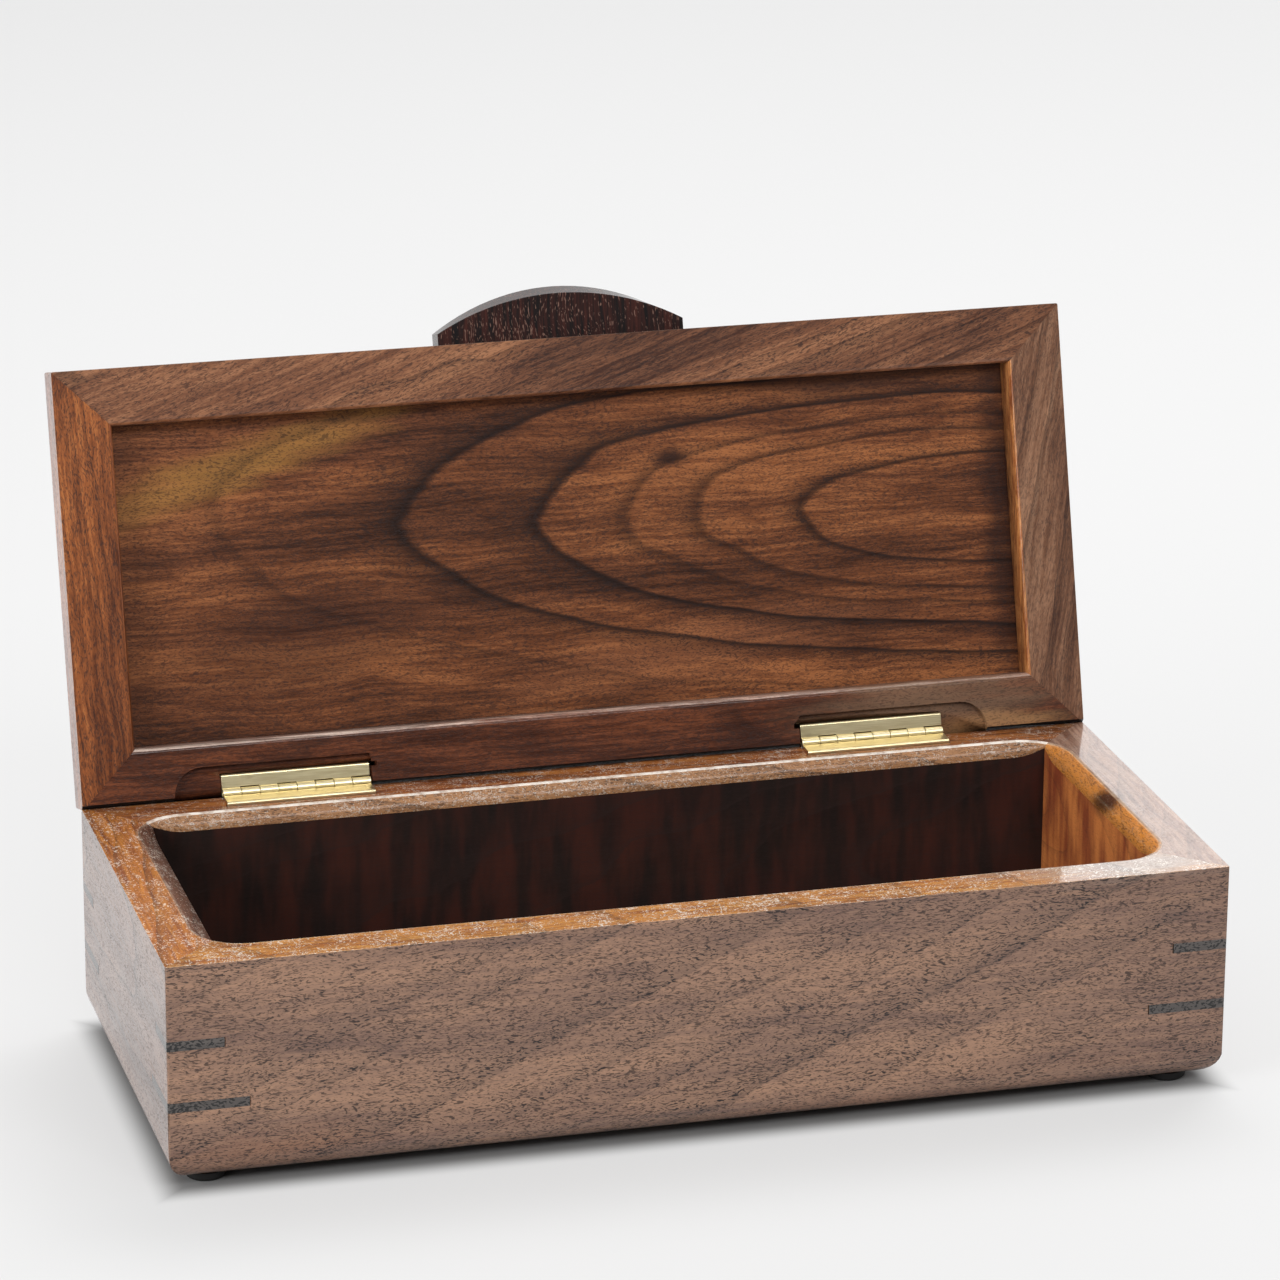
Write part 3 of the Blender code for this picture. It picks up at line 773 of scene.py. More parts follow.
class Piece:
    """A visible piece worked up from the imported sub-part that it stands for."""

    def __init__(self, node: str, body: str, opened: Matrix | None = None) -> None:
        """Take a merged copy of the sub-part into the working position.

        Args:
            node: The sub-part's name.
            body: The body it rides on.
            opened: Turn from the working position to rest, where they differ.
        """
        self.node = node
        self.body = body
        self.opened = opened or Matrix.Identity(4)
        self.shape = bmesh.new()
        self.shape.from_mesh(frame["nodes"][node].data)
        bmesh.ops.remove_doubles(self.shape, verts=self.shape.verts, dist=WELD)
        self.shape.transform(self.opened.inverted())
        bmesh.ops.dissolve_limit(self.shape, angle_limit=FLAT_ANGLE, verts=self.shape.verts,
                                 edges=self.shape.edges)
        self.arris = self.shape.faces.layers.float.new("arris")
        self.zones = {zone: self.shape.faces.layers.float.new(zone) for zone in ZONES}

    def slide(self, chosen: Callable[[Vector], bool], travel: Callable[[Vector], Vector]) -> None:
        """Move the chosen corners, each by its own travel."""
        for vert in self.shape.verts:
            if chosen(vert.co):
                vert.co += travel(vert.co)

    def plane_off(self, point: Vector, normal: Vector) -> None:
        """Take off what lies past a plane and close the cut as an eased edge.

        Args:
            point: A point on the plane.
            normal: Its outward normal.
        """
        geometry = self.shape.verts[:] + self.shape.edges[:] + self.shape.faces[:]
        bmesh.ops.bisect_plane(self.shape, geom=geometry, plane_co=point, plane_no=normal, clear_outer=True,
                               dist=WELD)
        open_edges = [edge for edge in self.shape.edges if edge.is_boundary]
        if open_edges:
            made = bmesh.ops.edgeloop_fill(self.shape, edges=open_edges)
            for face in made["faces"]:
                face[self.arris] = CORNER_RUB_AND_HIGHLIGHT

    def ease(self, chosen: Callable[[bmesh.types.BMEdge], bool], width: float, segments: int = 3) -> None:
        """Round the chosen crisp edges.

        Args:
            chosen: Says whether an edge is rounded.
            width: How far the round reaches over each face.
            segments: Facets across it.
        """
        edges = [edge for edge in self.shape.edges
                 if len(edge.link_faces) == 2 and edge.calc_face_angle() > CRISP_ANGLE and chosen(edge)]
        made = bmesh.ops.bevel(self.shape, geom=edges, offset=width, offset_type="OFFSET", segments=segments,
                               profile=0.5, affect="EDGES", clamp_overlap=True, material=-1)
        for face in made["faces"]:
            face[self.arris] = 1.0

    def mark(self, zone: str, chosen: Callable[[bmesh.types.BMFace], bool]) -> None:
        """Mark the chosen faces as part of a zone, whose tone carries painted light and shade."""
        for face in self.shape.faces:
            if chosen(face):
                face[self.zones[zone]] = 1.0

    def finish(self, name: str, slot: str, material: bpy.types.Material) -> bpy.types.Object:
        """Make the object, dressed and riding on its body.

        Args:
            name: The piece's name.
            slot: The record's material slot; not used.
            material: Its finish.

        Returns:
            The object.
        """
        self.shape.normal_update()
        self.shape.transform(self.opened)
        mesh = bpy.data.meshes.new(name)
        self.shape.to_mesh(mesh)
        self.shape.free()
        mesh.materials.append(material)
        mesh.shade_smooth()
        mesh.set_sharp_from_angle(angle=SMOOTH_ANGLE)
        made = bpy.data.objects.new(name, mesh)
        bpy.context.scene.collection.objects.link(made)
        even = made.modifiers.new("even_shading", "WEIGHTED_NORMAL")
        even.keep_sharp = True
        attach(made, self.body)
        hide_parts(self.node)
        log.info("%s: %d faces on %s", name, len(mesh.polygons), self.body)
        return made


def middle_of(part: bmesh.types.BMFace | bmesh.types.BMEdge) -> Vector:
    """Return the mean place of a face's or an edge's corners."""
    return sum((vert.co for vert in part.verts), Vector()) / len(part.verts)


def at_height(edge: bmesh.types.BMEdge, height: float) -> bool:
    """Say whether an edge lies at a height."""
    return all(abs(vert.co.z - height) < TOUCH for vert in edge.verts)


@dataclass(frozen=True)
class Outline:
    """The rectangle that a mitred frame fills in plan, from its packed sub-parts."""

    low: Vector
    high: Vector

    @staticmethod
    def round_pieces(pieces: Iterable[Piece]) -> "Outline":
        """Measure the outline of a ring of pieces in their working position."""
        points = [vert.co for piece in pieces for vert in piece.shape.verts]
        return Outline(Vector([min(point[axis] for point in points) for axis in range(3)]),
                       Vector([max(point[axis] for point in points) for axis in range(3)]))

    def from_side(self, point: Vector) -> float:
        """Return how far a point is in from the nearer left or right face."""
        return min(point.x - self.low.x, self.high.x - point.x)

    def from_end(self, point: Vector) -> float:
        """Return how far a point is in from the nearer front or back face."""
        return min(point.y - self.low.y, self.high.y - point.y)

    def inset(self, point: Vector) -> float:
        """Return how far a point is in from the nearest outer face."""
        return min(self.from_side(point), self.from_end(point))

    def inwards(self, point: Vector) -> Vector:
        """Return the signs of the directions towards the middle."""
        middle = (self.low + self.high) / 2
        return Vector((math.copysign(1, middle.x - point.x), math.copysign(1, middle.y - point.y), 0))


@dataclass
class MitredFrame:
    """Four mitred members round a rectangle, with tight joints and eased corners."""

    corner_round: float = 0.7 * MM
    setback: float = CAD_GAP / 2 * math.sqrt(2)

    def on_mitre(self, outline: Outline, point: Vector, setback: float) -> bool:
        """Say whether a point lies on a member's mitred end."""
        return abs(abs(outline.from_side(point) - outline.from_end(point)) - setback) < TOUCH

    def in_joint(self, outline: Outline, edge: bmesh.types.BMEdge) -> bool:
        """Say whether an edge lies in a closed mitre."""
        return all(self.on_mitre(outline, vert.co, CLOSE_FIT) for vert in edge.verts)

    def is_outer(self, outline: Outline, edge: bmesh.types.BMEdge) -> bool:
        """Say whether an edge runs along an outer face, clear of the mitres."""
        return (outline.inset(middle_of(edge)) < TOUCH and not self.in_joint(outline, edge)
                and edge.calc_length() > SHORTEST_EASED)

    def close_mitres(self, piece: Piece, outline: Outline, along_x: bool) -> None:
        """Lengthen a member until its mitred ends all but touch its neighbours'.

        Args:
            piece: The member.
            outline: The frame's outline.
            along_x: Whether its length lies along X.
        """
        travel = self.setback - CLOSE_FIT

        def outwards(point: Vector) -> Vector:
            """Return the travel of a corner along the member."""
            signs = outline.inwards(point)
            return Vector((-signs.x * travel, 0, 0)) if along_x else Vector((0, -signs.y * travel, 0))

        piece.slide(lambda point: self.on_mitre(outline, point, self.setback), outwards)

    def round_corners(self, piece: Piece, outline: Outline, along_x: bool) -> None:
        """Plane a member's share of the frame's upright outer corners.

        Args:
            piece: The member, or a key let into the corner.
            outline: The frame's outline.
            along_x: Whether its length lies along X.
        """
        lean = math.radians(67.5 if along_x else 22.5)
        for side in (-1, 1):
            for end in (-1, 1):
                corner = Vector((outline.high.x if side > 0 else outline.low.x,
                                 outline.high.y if end > 0 else outline.low.y, 0))
                centre = corner - Vector((side, end, 0)) * self.corner_round
                normal = Vector((side * math.cos(lean), end * math.sin(lean), 0))
                piece.plane_off(centre + normal * self.corner_round, normal)


@dataclass
class Case(MitredFrame):
    """The case: four mitred walls with keyed corners, a bottom and four feet."""

    rim_round: float = 0.45 * MM
    mouth_round: float = 0.7 * MM
    mouth_bevel_depth: float = 3.6 * MM
    wall: float = 19.05 * MM
    bevel_width: float = 6.0 * MM
    sides: tuple[str, ...] = ("front", "right", "back", "left")
    levels: tuple[str, ...] = ("upper", "lower")

    def build(self, finishes: "Palette") -> None:
        """Build and dress every piece of the case."""
        walls = {side: Piece(side + "_wall", "case") for side in self.sides}
        outline = Outline.round_pieces(walls.values())
        key_boxes = [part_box("corner_key_front_left_" + level) for level in self.levels]
        for side, piece in walls.items():
            along_x = side in ALONG_X_SIDES
            self.close_mitres(piece, outline, along_x)
            self.close_slots(piece, key_boxes)
            self.round_corners(piece, outline, along_x)
            self.mark_zones(piece, outline)
            self.ease_rim(piece, outline)
            piece.finish(side + "_board", "walnut_case", finishes.wall(side, outline))
        self.build_keys(outline, finishes)
        self.build_bottom(finishes)

    def close_slots(self, piece: Piece, key_boxes: list) -> None:
        """Close the saw slots round the keys' thickness."""
        for low, high in key_boxes:
            for edge, sign in ((low.z, 1), (high.z, -1)):
                slot = edge - sign * CAD_GAP
                piece.slide(lambda point, slot=slot: abs(point.z - slot) < TOUCH,
                            lambda point, sign=sign: Vector((0, 0, sign * (CAD_GAP - CLOSE_FIT))))

    def mark_zones(self, piece: Piece, outline: Outline) -> None:
        """Mark the rim with its bevel, the faces of the inside, and the bevel that stops the lid, for their
        painted light and shade.
        """
        rim = outline.high.z
        foot = rim - self.mouth_bevel_depth - TOUCH

        def back_bevel(face: bmesh.types.BMFace) -> bool:
            """Say whether a face is the bevel that stops the lid."""
            return (face.normal.y > 0.3 and 0.3 < face.normal.z < 0.95
                    and outline.high.y - face.calc_center_median().y < self.wall / 2)

        piece.mark("rim_face", lambda face: face.normal.z > 0.95
                   and face.calc_center_median().z > rim - TOUCH)
        piece.mark("bevel_face", lambda face: 0.5 < face.normal.z < 0.95
                   and face.calc_center_median().z > foot)
        piece.mark("inner_face", lambda face: outline.inset(face.calc_center_median()) > self.wall - TOUCH)
        piece.mark("stop_shade_face", back_bevel)

    def ease_rim(self, piece: Piece, outline: Outline) -> None:
        """Round the rim's outer edges, then the upper edge of the mouth's bevel."""
        rim = outline.high.z
        mouth = self.wall - self.bevel_width - TOUCH
        piece.ease(lambda edge: at_height(edge, rim) and self.is_outer(outline, edge), self.rim_round)
        piece.ease(lambda edge: at_height(edge, rim) and not self.in_joint(outline, edge)
                   and outline.inset(middle_of(edge)) > mouth
                   and edge.calc_face_angle() > MOUTH_ANGLE, self.mouth_round)

    def build_keys(self, outline: Outline, finishes: "Palette") -> None:
        """Build the dark keys that cross the corners."""
        material = finishes.key()
        for corner in CORNERS:
            for level in self.levels:
                piece = Piece("corner_key_%s_%s" % (corner, level), "case")
                self.round_corners(piece, outline, True)
                self.round_corners(piece, outline, False)
                piece.finish("key_%s_%s" % (corner, level), "key_wood", material)

    def build_bottom(self, finishes: "Palette") -> None:
        """Dress the bottom panel and the feet."""
        Piece("bottom_panel", "case").finish("base_board", "base_wood", finishes.base())
        rubber = Rubber().material()
        for corner in CORNERS:
            Piece("foot_" + corner, "case").finish("rubber_foot_" + corner, "foot_rubber", rubber)


@dataclass
class Lid(MitredFrame):
    """The lid: a mitred frame, its panel and the arched pull."""

    edge_round: float = 0.5 * MM
    pull_round: float = 0.45 * MM
    reveal_start: float = 16 * MM
    bevel_reach: float = 9 * MM
    opened: Matrix = field(default_factory=Matrix)

    def build(self, finishes: "Palette") -> None:
        """Build and dress every piece of the lid."""
        names = {"front": "lid_front_rail", "right": "lid_right_stile", "back": "lid_back_rail",
                 "left": "lid_left_stile"}
        members = {side: Piece(node, "lid", self.opened) for side, node in names.items()}
        pull = Piece("lid_pull", "lid", self.opened)
        panel = Piece("lid_panel", "lid", self.opened)
        outline = Outline.round_pieces(members.values())
        middle = self.opened @ ((outline.low + outline.high) / 2)
        for side, piece in members.items():
            along_x = side in ALONG_X_SIDES
            self.close_mitres(piece, outline, along_x)
            if side == "front":
                self.close_notch(piece, pull)
            self.round_corners(piece, outline, along_x)
            self.mark_zones(piece, outline)
            piece.ease(lambda edge: (at_height(edge, outline.low.z) or at_height(edge, outline.high.z))
                       and self.is_outer(outline, edge), self.edge_round)
            piece.finish(names[side].replace("lid_", "lid_frame_"), "walnut_lid",
                         finishes.member(side, middle))
        self.fill_rebate(panel)
        panel.finish("lid_field", "walnut_panel", finishes.panel(middle))
        pull.ease(lambda edge: True, self.pull_round)
        pull.finish("arched_pull", "pull_wood", finishes.pull())

    def close_notch(self, rail: Piece, pull: Piece) -> None:
        """Close the front rail's notch round the pull."""
        size = Outline.round_pieces([pull])
        low, high = size.low, size.high
        close = CAD_GAP - CLOSE_FIT

        def beside(point: Vector) -> bool:
            """Say whether a point is within the notch's width."""
            return abs(point.x) < high.x + CAD_GAP

        rail.slide(lambda point: abs(abs(point.x) - high.x - CAD_GAP) < TOUCH,
                   lambda point: Vector((-math.copysign(close, point.x), 0, 0)))
        rail.slide(lambda point: abs(point.y - high.y - CAD_GAP) < TOUCH and beside(point),
                   lambda point: Vector((0, -close, 0)))
        rail.slide(lambda point: abs(point.z - low.z + CAD_GAP) < TOUCH and beside(point),
                   lambda point: Vector((0, 0, close)))

    def mark_zones(self, piece: Piece, outline: Outline) -> None:
        """Mark the reveal round the panel for its painted light, and the bevel that stops the lid for its
        painted shade.
        """

        def back_bevel(face: bmesh.types.BMFace) -> bool:
            """Say whether a face is the bevel that stops the lid."""
            return (face.normal.y > 0.3 and -0.95 < face.normal.z < -0.3
                    and outline.high.y - face.calc_center_median().y < self.bevel_reach)

        piece.mark("rim_face", lambda face: outline.inset(face.calc_center_median()) > self.reveal_start
                   and abs(face.normal.z) < 0.9)
        piece.mark("stop_shade_face", back_bevel)

    def fill_rebate(self, panel: Piece) -> None:
        """Widen the panel until it fills the frame's rebate."""
        spread = Outline.round_pieces([panel])
        reach = CAD_GAP - CLOSE_FIT
        panel.slide(lambda point: True, lambda point: Vector((
            -spread.inwards(point).x * reach, -spread.inwards(point).y * reach, 0)))


@dataclass
class Hinges:
    """Two brass hinges: leaves bent into their slots, rolled knuckles and pins."""

    edge_round: float = 0.1 * MM
    opened: Matrix = field(default_factory=Matrix)

    def build(self, groups: GrainGroups) -> None:
        """Build and dress both hinges."""
        brass = Brass().material(groups)
        for side in ("left", "right"):
            for body in ("case", "lid"):
                leaf = Piece("%s_hinge_%s_leaf" % (side, body), body, self.opened if body == "lid" else None)
                leaf.ease(lambda edge: edge.calc_face_angle() > BEND_ANGLE, self.edge_round, 2)
                leaf.finish("%s_brass_leaf_%s" % (side, body), "brass", brass)
            pin = Piece(side + "_hinge_pin", "case")
            pin.ease(lambda edge: True, self.edge_round, 2)
            pin.finish(side + "_brass_pin", "brass", brass)


# ------------------------------------------------------------------ palette


@dataclass
class Palette:
    """The boards and finishes picked for each piece."""

    groups: GrainGroups

    def wall(self, side: str, outline: Outline) -> bpy.types.Material:
        """Return a wall's walnut.

        Args:
            side: Which wall.
            outline: The case's outline.

        Returns:
            The material.
        """
        middle = (outline.low + outline.high) / 2
        centres = {"front": Vector((0, outline.low.y, middle.z)),
                   "back": Vector((0, outline.high.y, middle.z)),
                   "left": Vector((outline.low.x, middle.y, middle.z)),
                   "right": Vector((outline.high.x, middle.y, middle.z))}
        along_x = side in ALONG_X_SIDES
        board = Board(Turn.ALONG_X_FACE_FRONT if along_x else Turn.ALONG_Y_FACE_SIDE, centres[side])
        made = {
            # front: painted light on the rim and its bevel
            "front": Walnut("walnut_front", board, Log(-110.0, 40.0, 0.44, 0.03, 17.0, 4.0),
                            light=srgb(164, 124, 97), middle=srgb(139, 104, 83), dark=srgb(108, 78, 65),
                            pore=srgb(24, 12, 12), painted_rim_light=srgb(212, 152, 68), line_amount=0.26,
                            band_amount=0.3, pore_amount=1.0, pore_fill=0.52, painted_rim_amount=0.97,
                            painted_bevel_shading=srgb(214, 180, 140), painted_bevel_amount=0.8, glint_amount=0.75,
                            edge_rub_and_highlight_amount=0.15,
                            seed=4.0, patches=(
                                # painted reflection: a pale stretch on the right end of the front rim, where
                                # the back-right softbox is mirrored
                                Patch(srgb(158, 140, 128), (136.0, 36.0, -10.0), (58.0, 7.0, 14.0), 0.0, 0.9),
                                Patch(srgb(150, 100, 66), (-140.0, -32.0, 0.0), (46.0, 16.0, 8.0), 0.1, 0.4),
                                Patch(srgb(150, 100, 68), (60.0, -33.0, 0.0), (90.0, 7.0, 8.0), 0.0, 0.35))),
            # right: painted reflection on the rim, painted light and shade on the inside face and its bevel
            "right": Walnut("walnut_right", board, Log(10.0, 40.0, 0.1, 0.3, 7.0, 4.0),
                            light=srgb(168, 124, 96), middle=srgb(136, 98, 76), dark=srgb(98, 66, 50),
                            painted_rim_light=srgb(176, 148, 128), painted_rim_amount=0.75, painted_inside_light=srgb(206, 124, 60),
                            painted_inside_shade=srgb(132, 56, 22), painted_inside_amount=0.92, painted_bevel_shading=srgb(214, 136, 54),
                            painted_bevel_amount=0.97, glint_amount=0.1, line_amount=0.2, band_amount=0.2,
                            pore_amount=0.6, seed=21.0,
                            patches=(Patch(srgb(54, 23, 12), KNOT_IN_WALL, (12.0, 6.0, 7.5), 0.0, 0.95),)),
            # back: painted shade on the inside face, painted light on the rim and its bevel, a painted
            # highlight along the mouth's edge
            "back": Walnut("walnut_back", board, Log(-10.0, 34.0, 0.1, 0.12, 8.0, 6.0),
                           light=srgb(156, 118, 92), middle=srgb(128, 90, 68), painted_inside_amount=0.98,
                           painted_inside_light=srgb(58, 20, 9), painted_inside_shade=srgb(15, 4, 2),
                           painted_rim_light=srgb(192, 126, 64), painted_rim_amount=0.95, painted_bevel_shading=srgb(186, 134, 88),
                           painted_bevel_amount=0.9, glint_amount=0.45, rim_dullness=0.7,
                           edge_rub_and_highlight=srgb(250, 240, 228), edge_rub_and_highlight_amount=1.0, seed=33.0),
            # left: painted light on the rim, painted shade on its bevel
            "left": Walnut("walnut_left", board, Log(20.0, 55.0, 0.12, 0.1, 8.0, 5.0),
                           light=srgb(156, 122, 102), middle=srgb(134, 102, 86), dark=srgb(104, 76, 62),
                           painted_rim_light=srgb(200, 130, 46), painted_rim_amount=0.97, painted_bevel_shading=srgb(104, 54, 26),
                           painted_bevel_amount=0.95, glint_amount=0.65, edge_rub_and_highlight_amount=0.15, rim_dullness=0.95,
                           seed=47.0),
        }
        return made[side].material(self.groups)

    def member(self, side: str, centre: Vector) -> bpy.types.Material:
        """Return a lid member's walnut.

        Args:
            side: Which member.
            centre: The middle of the lid at rest.

        Returns:
            The material.
        """
        leans = {"front": 0.32, "back": 0.0, "left": 0.03, "right": -0.22}
        board = Board(Turn.LID_RAIL if side in ALONG_X_SIDES else Turn.LID_STILE, centre, leans[side])
        made = {
            "front": Walnut("walnut_top_rail", board, Log(110.0, 60.0, 0.05, 0.05, 8.0, 6.0),
                            light=srgb(170, 118, 84), middle=srgb(126, 82, 58), dark=srgb(72, 43, 32),
                            painted_rim_amount=0.1, band_amount=0.35, pore_amount=0.8, sheen=0.4, mirror=0.25,
                            seed=55.0),
            # bottom rail: a painted highlight line along its reveal
            "back": Walnut("walnut_bottom_rail", board, Log(-60.0, 45.0, 0.02, 0.05, 6.0, 3.0),
                           light=srgb(138, 78, 48), middle=srgb(86, 46, 29), dark=srgb(44, 21, 14),
                           painted_rim_light=srgb(255, 236, 220), painted_rim_amount=0.85, pore_amount=0.55, sheen=0.15,
                           mirror=0.25, seed=61.0, patches=(
                               Patch(srgb(136, 108, 86), (112.0, -57.0, 0.0), (56.0, 16.0, 40.0), 0.0, 0.75),
                               Patch(srgb(184, 138, 92), (134.0, -66.0, 0.0), (34.0, 6.0, 30.0), 0.0, 0.6))),
            "left": Walnut("walnut_left_stile", board, Log(120.0, 30.0, 0.02, 0.05, 5.0, 3.0),
                           light=srgb(204, 128, 68), middle=srgb(156, 88, 44), dark=srgb(94, 48, 24),
                           painted_rim_amount=0.2, line_amount=0.6, sheen=0.9, mirror=0.3, seed=72.0),
            # right stile: painted light on its reveal
            "right": Walnut("walnut_right_stile", board, Log(-120.0, 30.0, 0.04, 0.05, 6.0, 5.0),
                            light=srgb(164, 122, 94), middle=srgb(122, 84, 62), dark=srgb(74, 46, 34),
                            painted_rim_light=srgb(228, 162, 98), painted_rim_amount=0.95, line_amount=0.6, pore_amount=0.5,
                            sheen=0.4, mirror=0.3, seed=83.0),
        }
        return made[side].material(self.groups)

    def panel(self, centre: Vector) -> bpy.types.Material:
        """Return the lid panel's walnut, with its bold cathedral figure and painted shadow under the top rail
        and beside the right stile.
        """
        return Walnut(
            "walnut_panel_figure", Board(Turn.LID_RAIL, centre),
            Log(across=12.0, depth=37.0, drift_across=-0.06, drift_depth=0.229, ring_width=8.0, waver=3.0),
            light=srgb(166, 104, 62), middle=srgb(115, 67, 40), dark=srgb(62, 34, 21),
            line=srgb(16, 8, 8), band_amount=0.68, line_amount=0.95, pore_amount=0.75, pore_length=1.1,
            pore_fill=0.55, sheen=0.08, mirror=0.2,
            rings=((17.0, 0.85, 2.5), (25.5, 0.6, 2.5), (30.5, 0.5, 2.5), (37.4, 1.0, 5.0),
                   (47.0, 0.95, 5.0), (60.0, 0.3, 4.0)),
            patches=(Patch(srgb(162, 116, 58), (-106.0, 35.0, 0.0), (74.0, 11.0, 60.0), 0.3, 0.7),
                     # painted shadow under the top rail, over the right half
                     Patch(srgb(36, 18, 17), (100.0, 51.0, 0.0), (110.0, 9.0, 60.0), 0.0, 0.75),
                     # painted shadow beside the right stile
                     Patch(srgb(32, 16, 14), (145.0, 0.0, 0.0), (10.0, 80.0, 60.0), 0.0, 0.75),
                     Patch(srgb(44, 22, 17), (34.0, 28.0, 0.0), (9.0, 5.0, 60.0), 0.0, 0.9),
                     Patch(srgb(58, 31, 22), (-92.0, -22.0, 0.0), (60.0, 26.0, 60.0), 0.2, 0.5),
                     Patch(srgb(150, 96, 66), (40.0, -34.0, 0.0), (80.0, 14.0, 60.0), 0.1, 0.35)),
            painted_rim_amount=0.0, seed=90.0).material(self.groups)

    def base(self) -> bpy.types.Material:
        """Return the bottom's walnut."""
        low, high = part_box("bottom_panel")
        board = Board(Turn.ALONG_X_FACE_UP, (low + high) / 2)
        return Walnut("walnut_base", board, Log(10.0, 60.0, 0.05, 0.1, 9.0, 6.0), light=srgb(120, 84, 62),
                      middle=srgb(96, 64, 46), dark=srgb(70, 44, 32), seed=12.0).material(self.groups)

    def key(self) -> bpy.types.Material:
        """Return the keys' charcoal wood."""
        board = Board(Turn.ALONG_X_FACE_FRONT, Vector())
        return Blackwood("key_blackwood", board, srgb(74, 68, 65), srgb(94, 87, 83), srgb(14, 12, 12),
                         0.6, seed=5.0).material(self.groups)

    def pull(self) -> bpy.types.Material:
        """Return the pull's near-black wood."""
        board = Board(Turn.LID_STILE, Vector())
        return Blackwood("pull_blackwood", board, srgb(13, 7, 7), srgb(70, 30, 22), srgb(122, 92, 80),
                         0.85, (2.2, 0.4), 0.2, seed=8.0).material(self.groups)


# ------------------------------------------------------------------ studio


@dataclass(frozen=True)
class Softbox:
    """A rectangular area light aimed at the box."""

    name: str
    place: tuple[float, float, float]
    width: float
    height: float
    power: float

    def build(self, target: Vector) -> None:
        """Add the light, facing the target."""
        light = bpy.data.lights.new(self.name, "AREA")
        light.shape = "RECTANGLE"
        light.size = self.width
        light.size_y = self.height
        light.energy = self.power
        item = bpy.data.objects.new(self.name, light)
        bpy.context.scene.collection.objects.link(item)
        item.location = self.place
        item.rotation_euler = (target - Vector(self.place)).to_track_quat("-Z", "Y").to_euler()


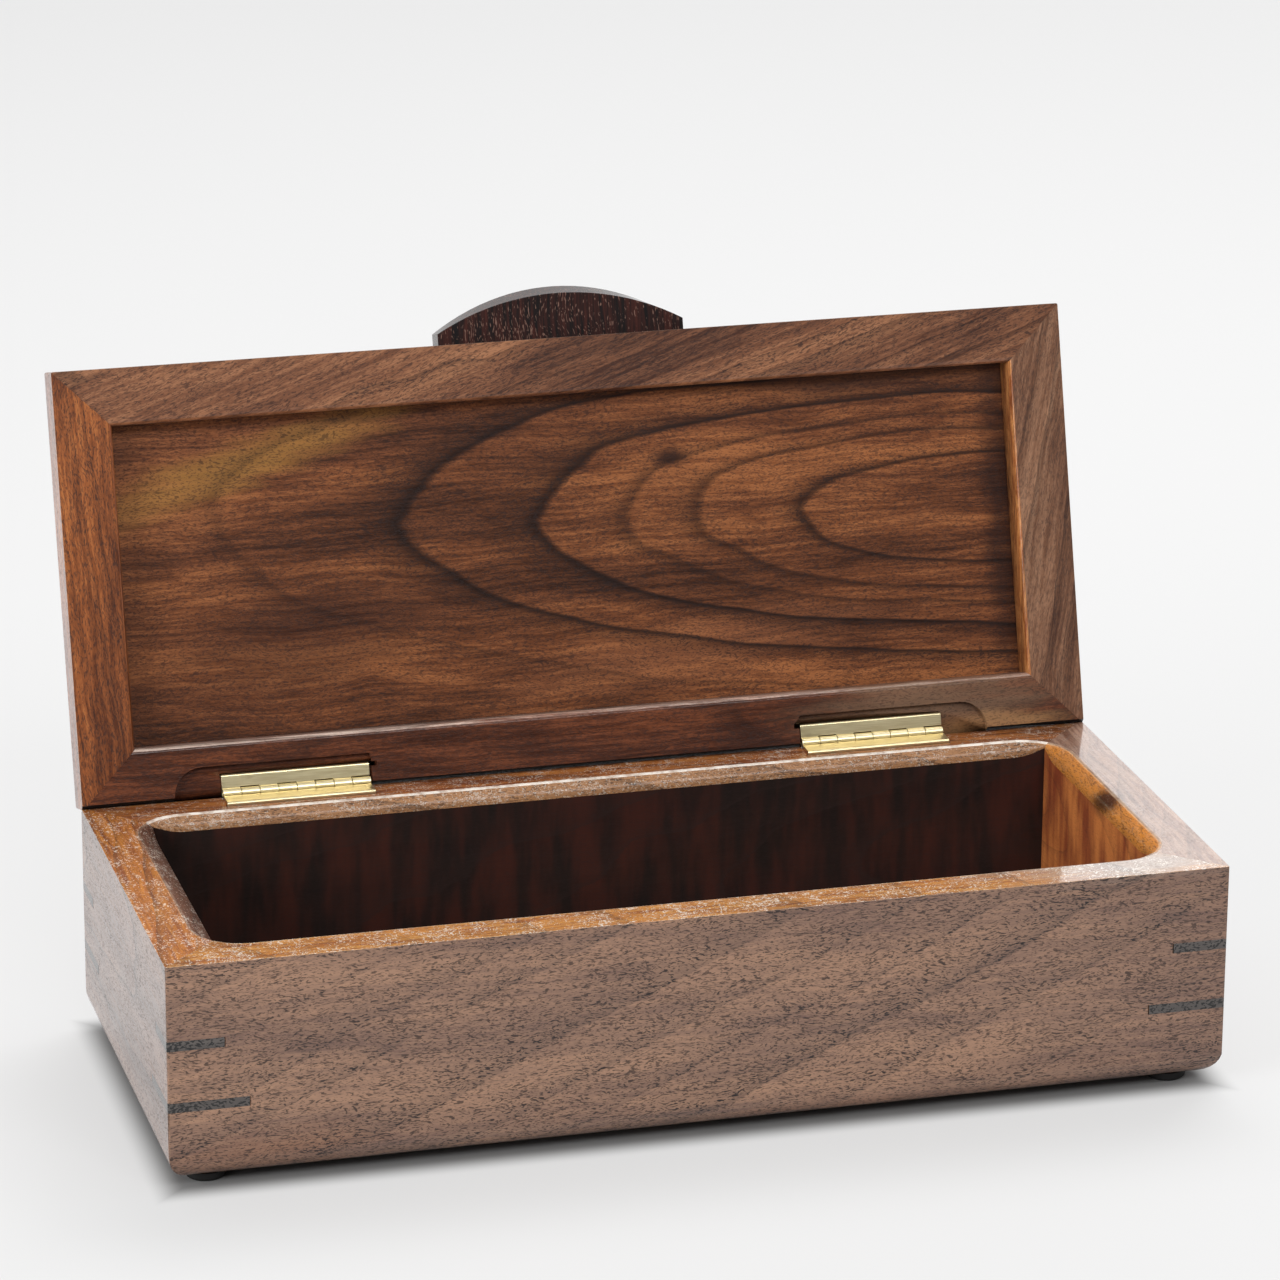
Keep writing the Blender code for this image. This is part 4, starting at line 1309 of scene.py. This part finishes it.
@dataclass
class Studio:
    """Pale floor, soft lights and the camera."""

    azimuth: float = -15.43
    elevation: float = 18.83
    roll: float = 0.372
    aim: tuple[float, float, float] = (0.00783, 0.01447, 0.12297)
    distance: float = 1.8511
    lens: float = 166.67
    floor_radius: float = 9.0
    floor_shade: float = 0.24
    floor_glow: float = 0.53
    floor_roughness: float = 0.85
    shadow_reach: float = 6 * MM
    sky: float = 0.62
    front_share: float = 0.12
    lights: tuple[Softbox, ...] = (
        Softbox("overhead", (0.45, 0.75, 1.5), 1.2, 0.7, 18.0),
        Softbox("window_left", (-1.9, -0.9, 0.9), 1.2, 1.0, 26.0),
        Softbox("front_high", (0.3, -2.2, 1.9), 1.6, 0.8, 28.0),
        Softbox("back_right", (1.5, 1.88, 0.92), 1.4, 0.8, 6.0),
    )

    def build(self) -> None:
        """Set up the studio."""
        self.build_floor()
        self.build_sky()
        for light in self.lights:
            light.build(Vector(self.aim))
        self.build_camera()

    def build_floor(self) -> None:
        """Lay the round floor, glowing evenly except near the case, where the glow fades as a painted contact
        shadow.
        """
        shape = bmesh.new()
        bmesh.ops.create_circle(shape, cap_ends=True, segments=96, radius=self.floor_radius)
        mesh = bpy.data.meshes.new("studio_floor")
        shape.to_mesh(mesh)
        shape.free()
        floor = bpy.data.objects.new("studio_floor", mesh)
        bpy.context.scene.collection.objects.link(floor)
        paint, web = new_material("floor_paint")
        shader = web.tree.nodes["Principled BSDF"].inputs
        shader["Base Color"].default_value = (*(self.floor_shade,) * 3, 1.0)
        shader["Roughness"].default_value = self.floor_roughness
        low, high = CAD_CASE
        offset = web.on_vectors("SUBTRACT", web.node("TexCoord", {}).outputs["Object"], (low + high) / 2)
        clear = web.on_vectors("SUBTRACT", web.on_vectors("ABSOLUTE", offset), (high - low) / 2)
        parts = web.parts(clear)
        # painted contact shadow: the glow fades out within shadow_reach of the case
        glow = web.smooth_step(web.larger(parts[0], parts[1]), -self.shadow_reach, self.shadow_reach)
        web.tree.links.new(web.mix(glow, ORIGIN, (1.0, 1.0, 1.0)), shader["Emission Color"])
        shader["Emission Strength"].default_value = self.floor_glow
        mesh.materials.append(paint)

    def build_sky(self) -> None:
        """Set the white surroundings, dimmer on the side that the box faces."""
        world = bpy.data.worlds.new("white_room")
        world.use_nodes = True
        web = Web(world.node_tree)
        background = world.node_tree.nodes["Background"]
        away = web.parts(web.node("TexCoord", {}).outputs["Generated"])
        front = web.smooth_step(away[1], -0.85, 0.1)
        high = web.smooth_step(away[2], 0.35, 0.8)
        share = web.larger(front, high)
        level = web.smooth_step(share, 0.0, 1.0, self.sky * self.front_share, self.sky)
        web.tree.links.new(level, background.inputs["Strength"])
        background.inputs["Color"].default_value = (1.0, 1.0, 1.0, 1.0)
        bpy.context.scene.world = world

    def build_camera(self) -> None:
        """Place the camera."""
        data = bpy.data.cameras.new("camera")
        data.lens = self.lens
        data.sensor_width = 36.0
        camera = bpy.data.objects.new("camera", data)
        bpy.context.scene.collection.objects.link(camera)
        turn = (Matrix.Rotation(math.radians(self.azimuth), 4, "Z")
                @ Matrix.Rotation(math.radians(90 - self.elevation), 4, "X")
                @ Matrix.Rotation(math.radians(self.roll), 4, "Z"))
        back = turn.to_3x3() @ Vector((0, 0, 1))
        camera.matrix_world = Matrix.Translation(Vector(self.aim) + back * self.distance) @ turn
        bpy.context.scene.camera = camera


def lid_opened() -> Matrix:
    """Return the turn that opens the lid from the closed position to rest."""
    joint = next(item for item in frame["joints"] if item["name"] == "lid_hinge")
    axis = Vector(joint["pos_m"])
    turn = Matrix.Rotation(-math.radians(joint["range_deg"][1]), 4, Vector(joint["axis"]))
    return Matrix.Translation(axis) @ turn @ Matrix.Translation(-axis)


def main() -> None:
    """Build the studio and every sub-assembly of the box."""
    logging.basicConfig(level=logging.INFO, format="%(name)s: %(message)s")
    bpy.context.scene.view_settings.view_transform = "Standard"
    groups = GrainGroups()
    palette = Palette(groups)
    Studio().build()
    Case().build(palette)
    Lid(opened=lid_opened()).build(palette)
    Hinges(opened=lid_opened()).build(groups)


if __name__ == "__main__":
    main()
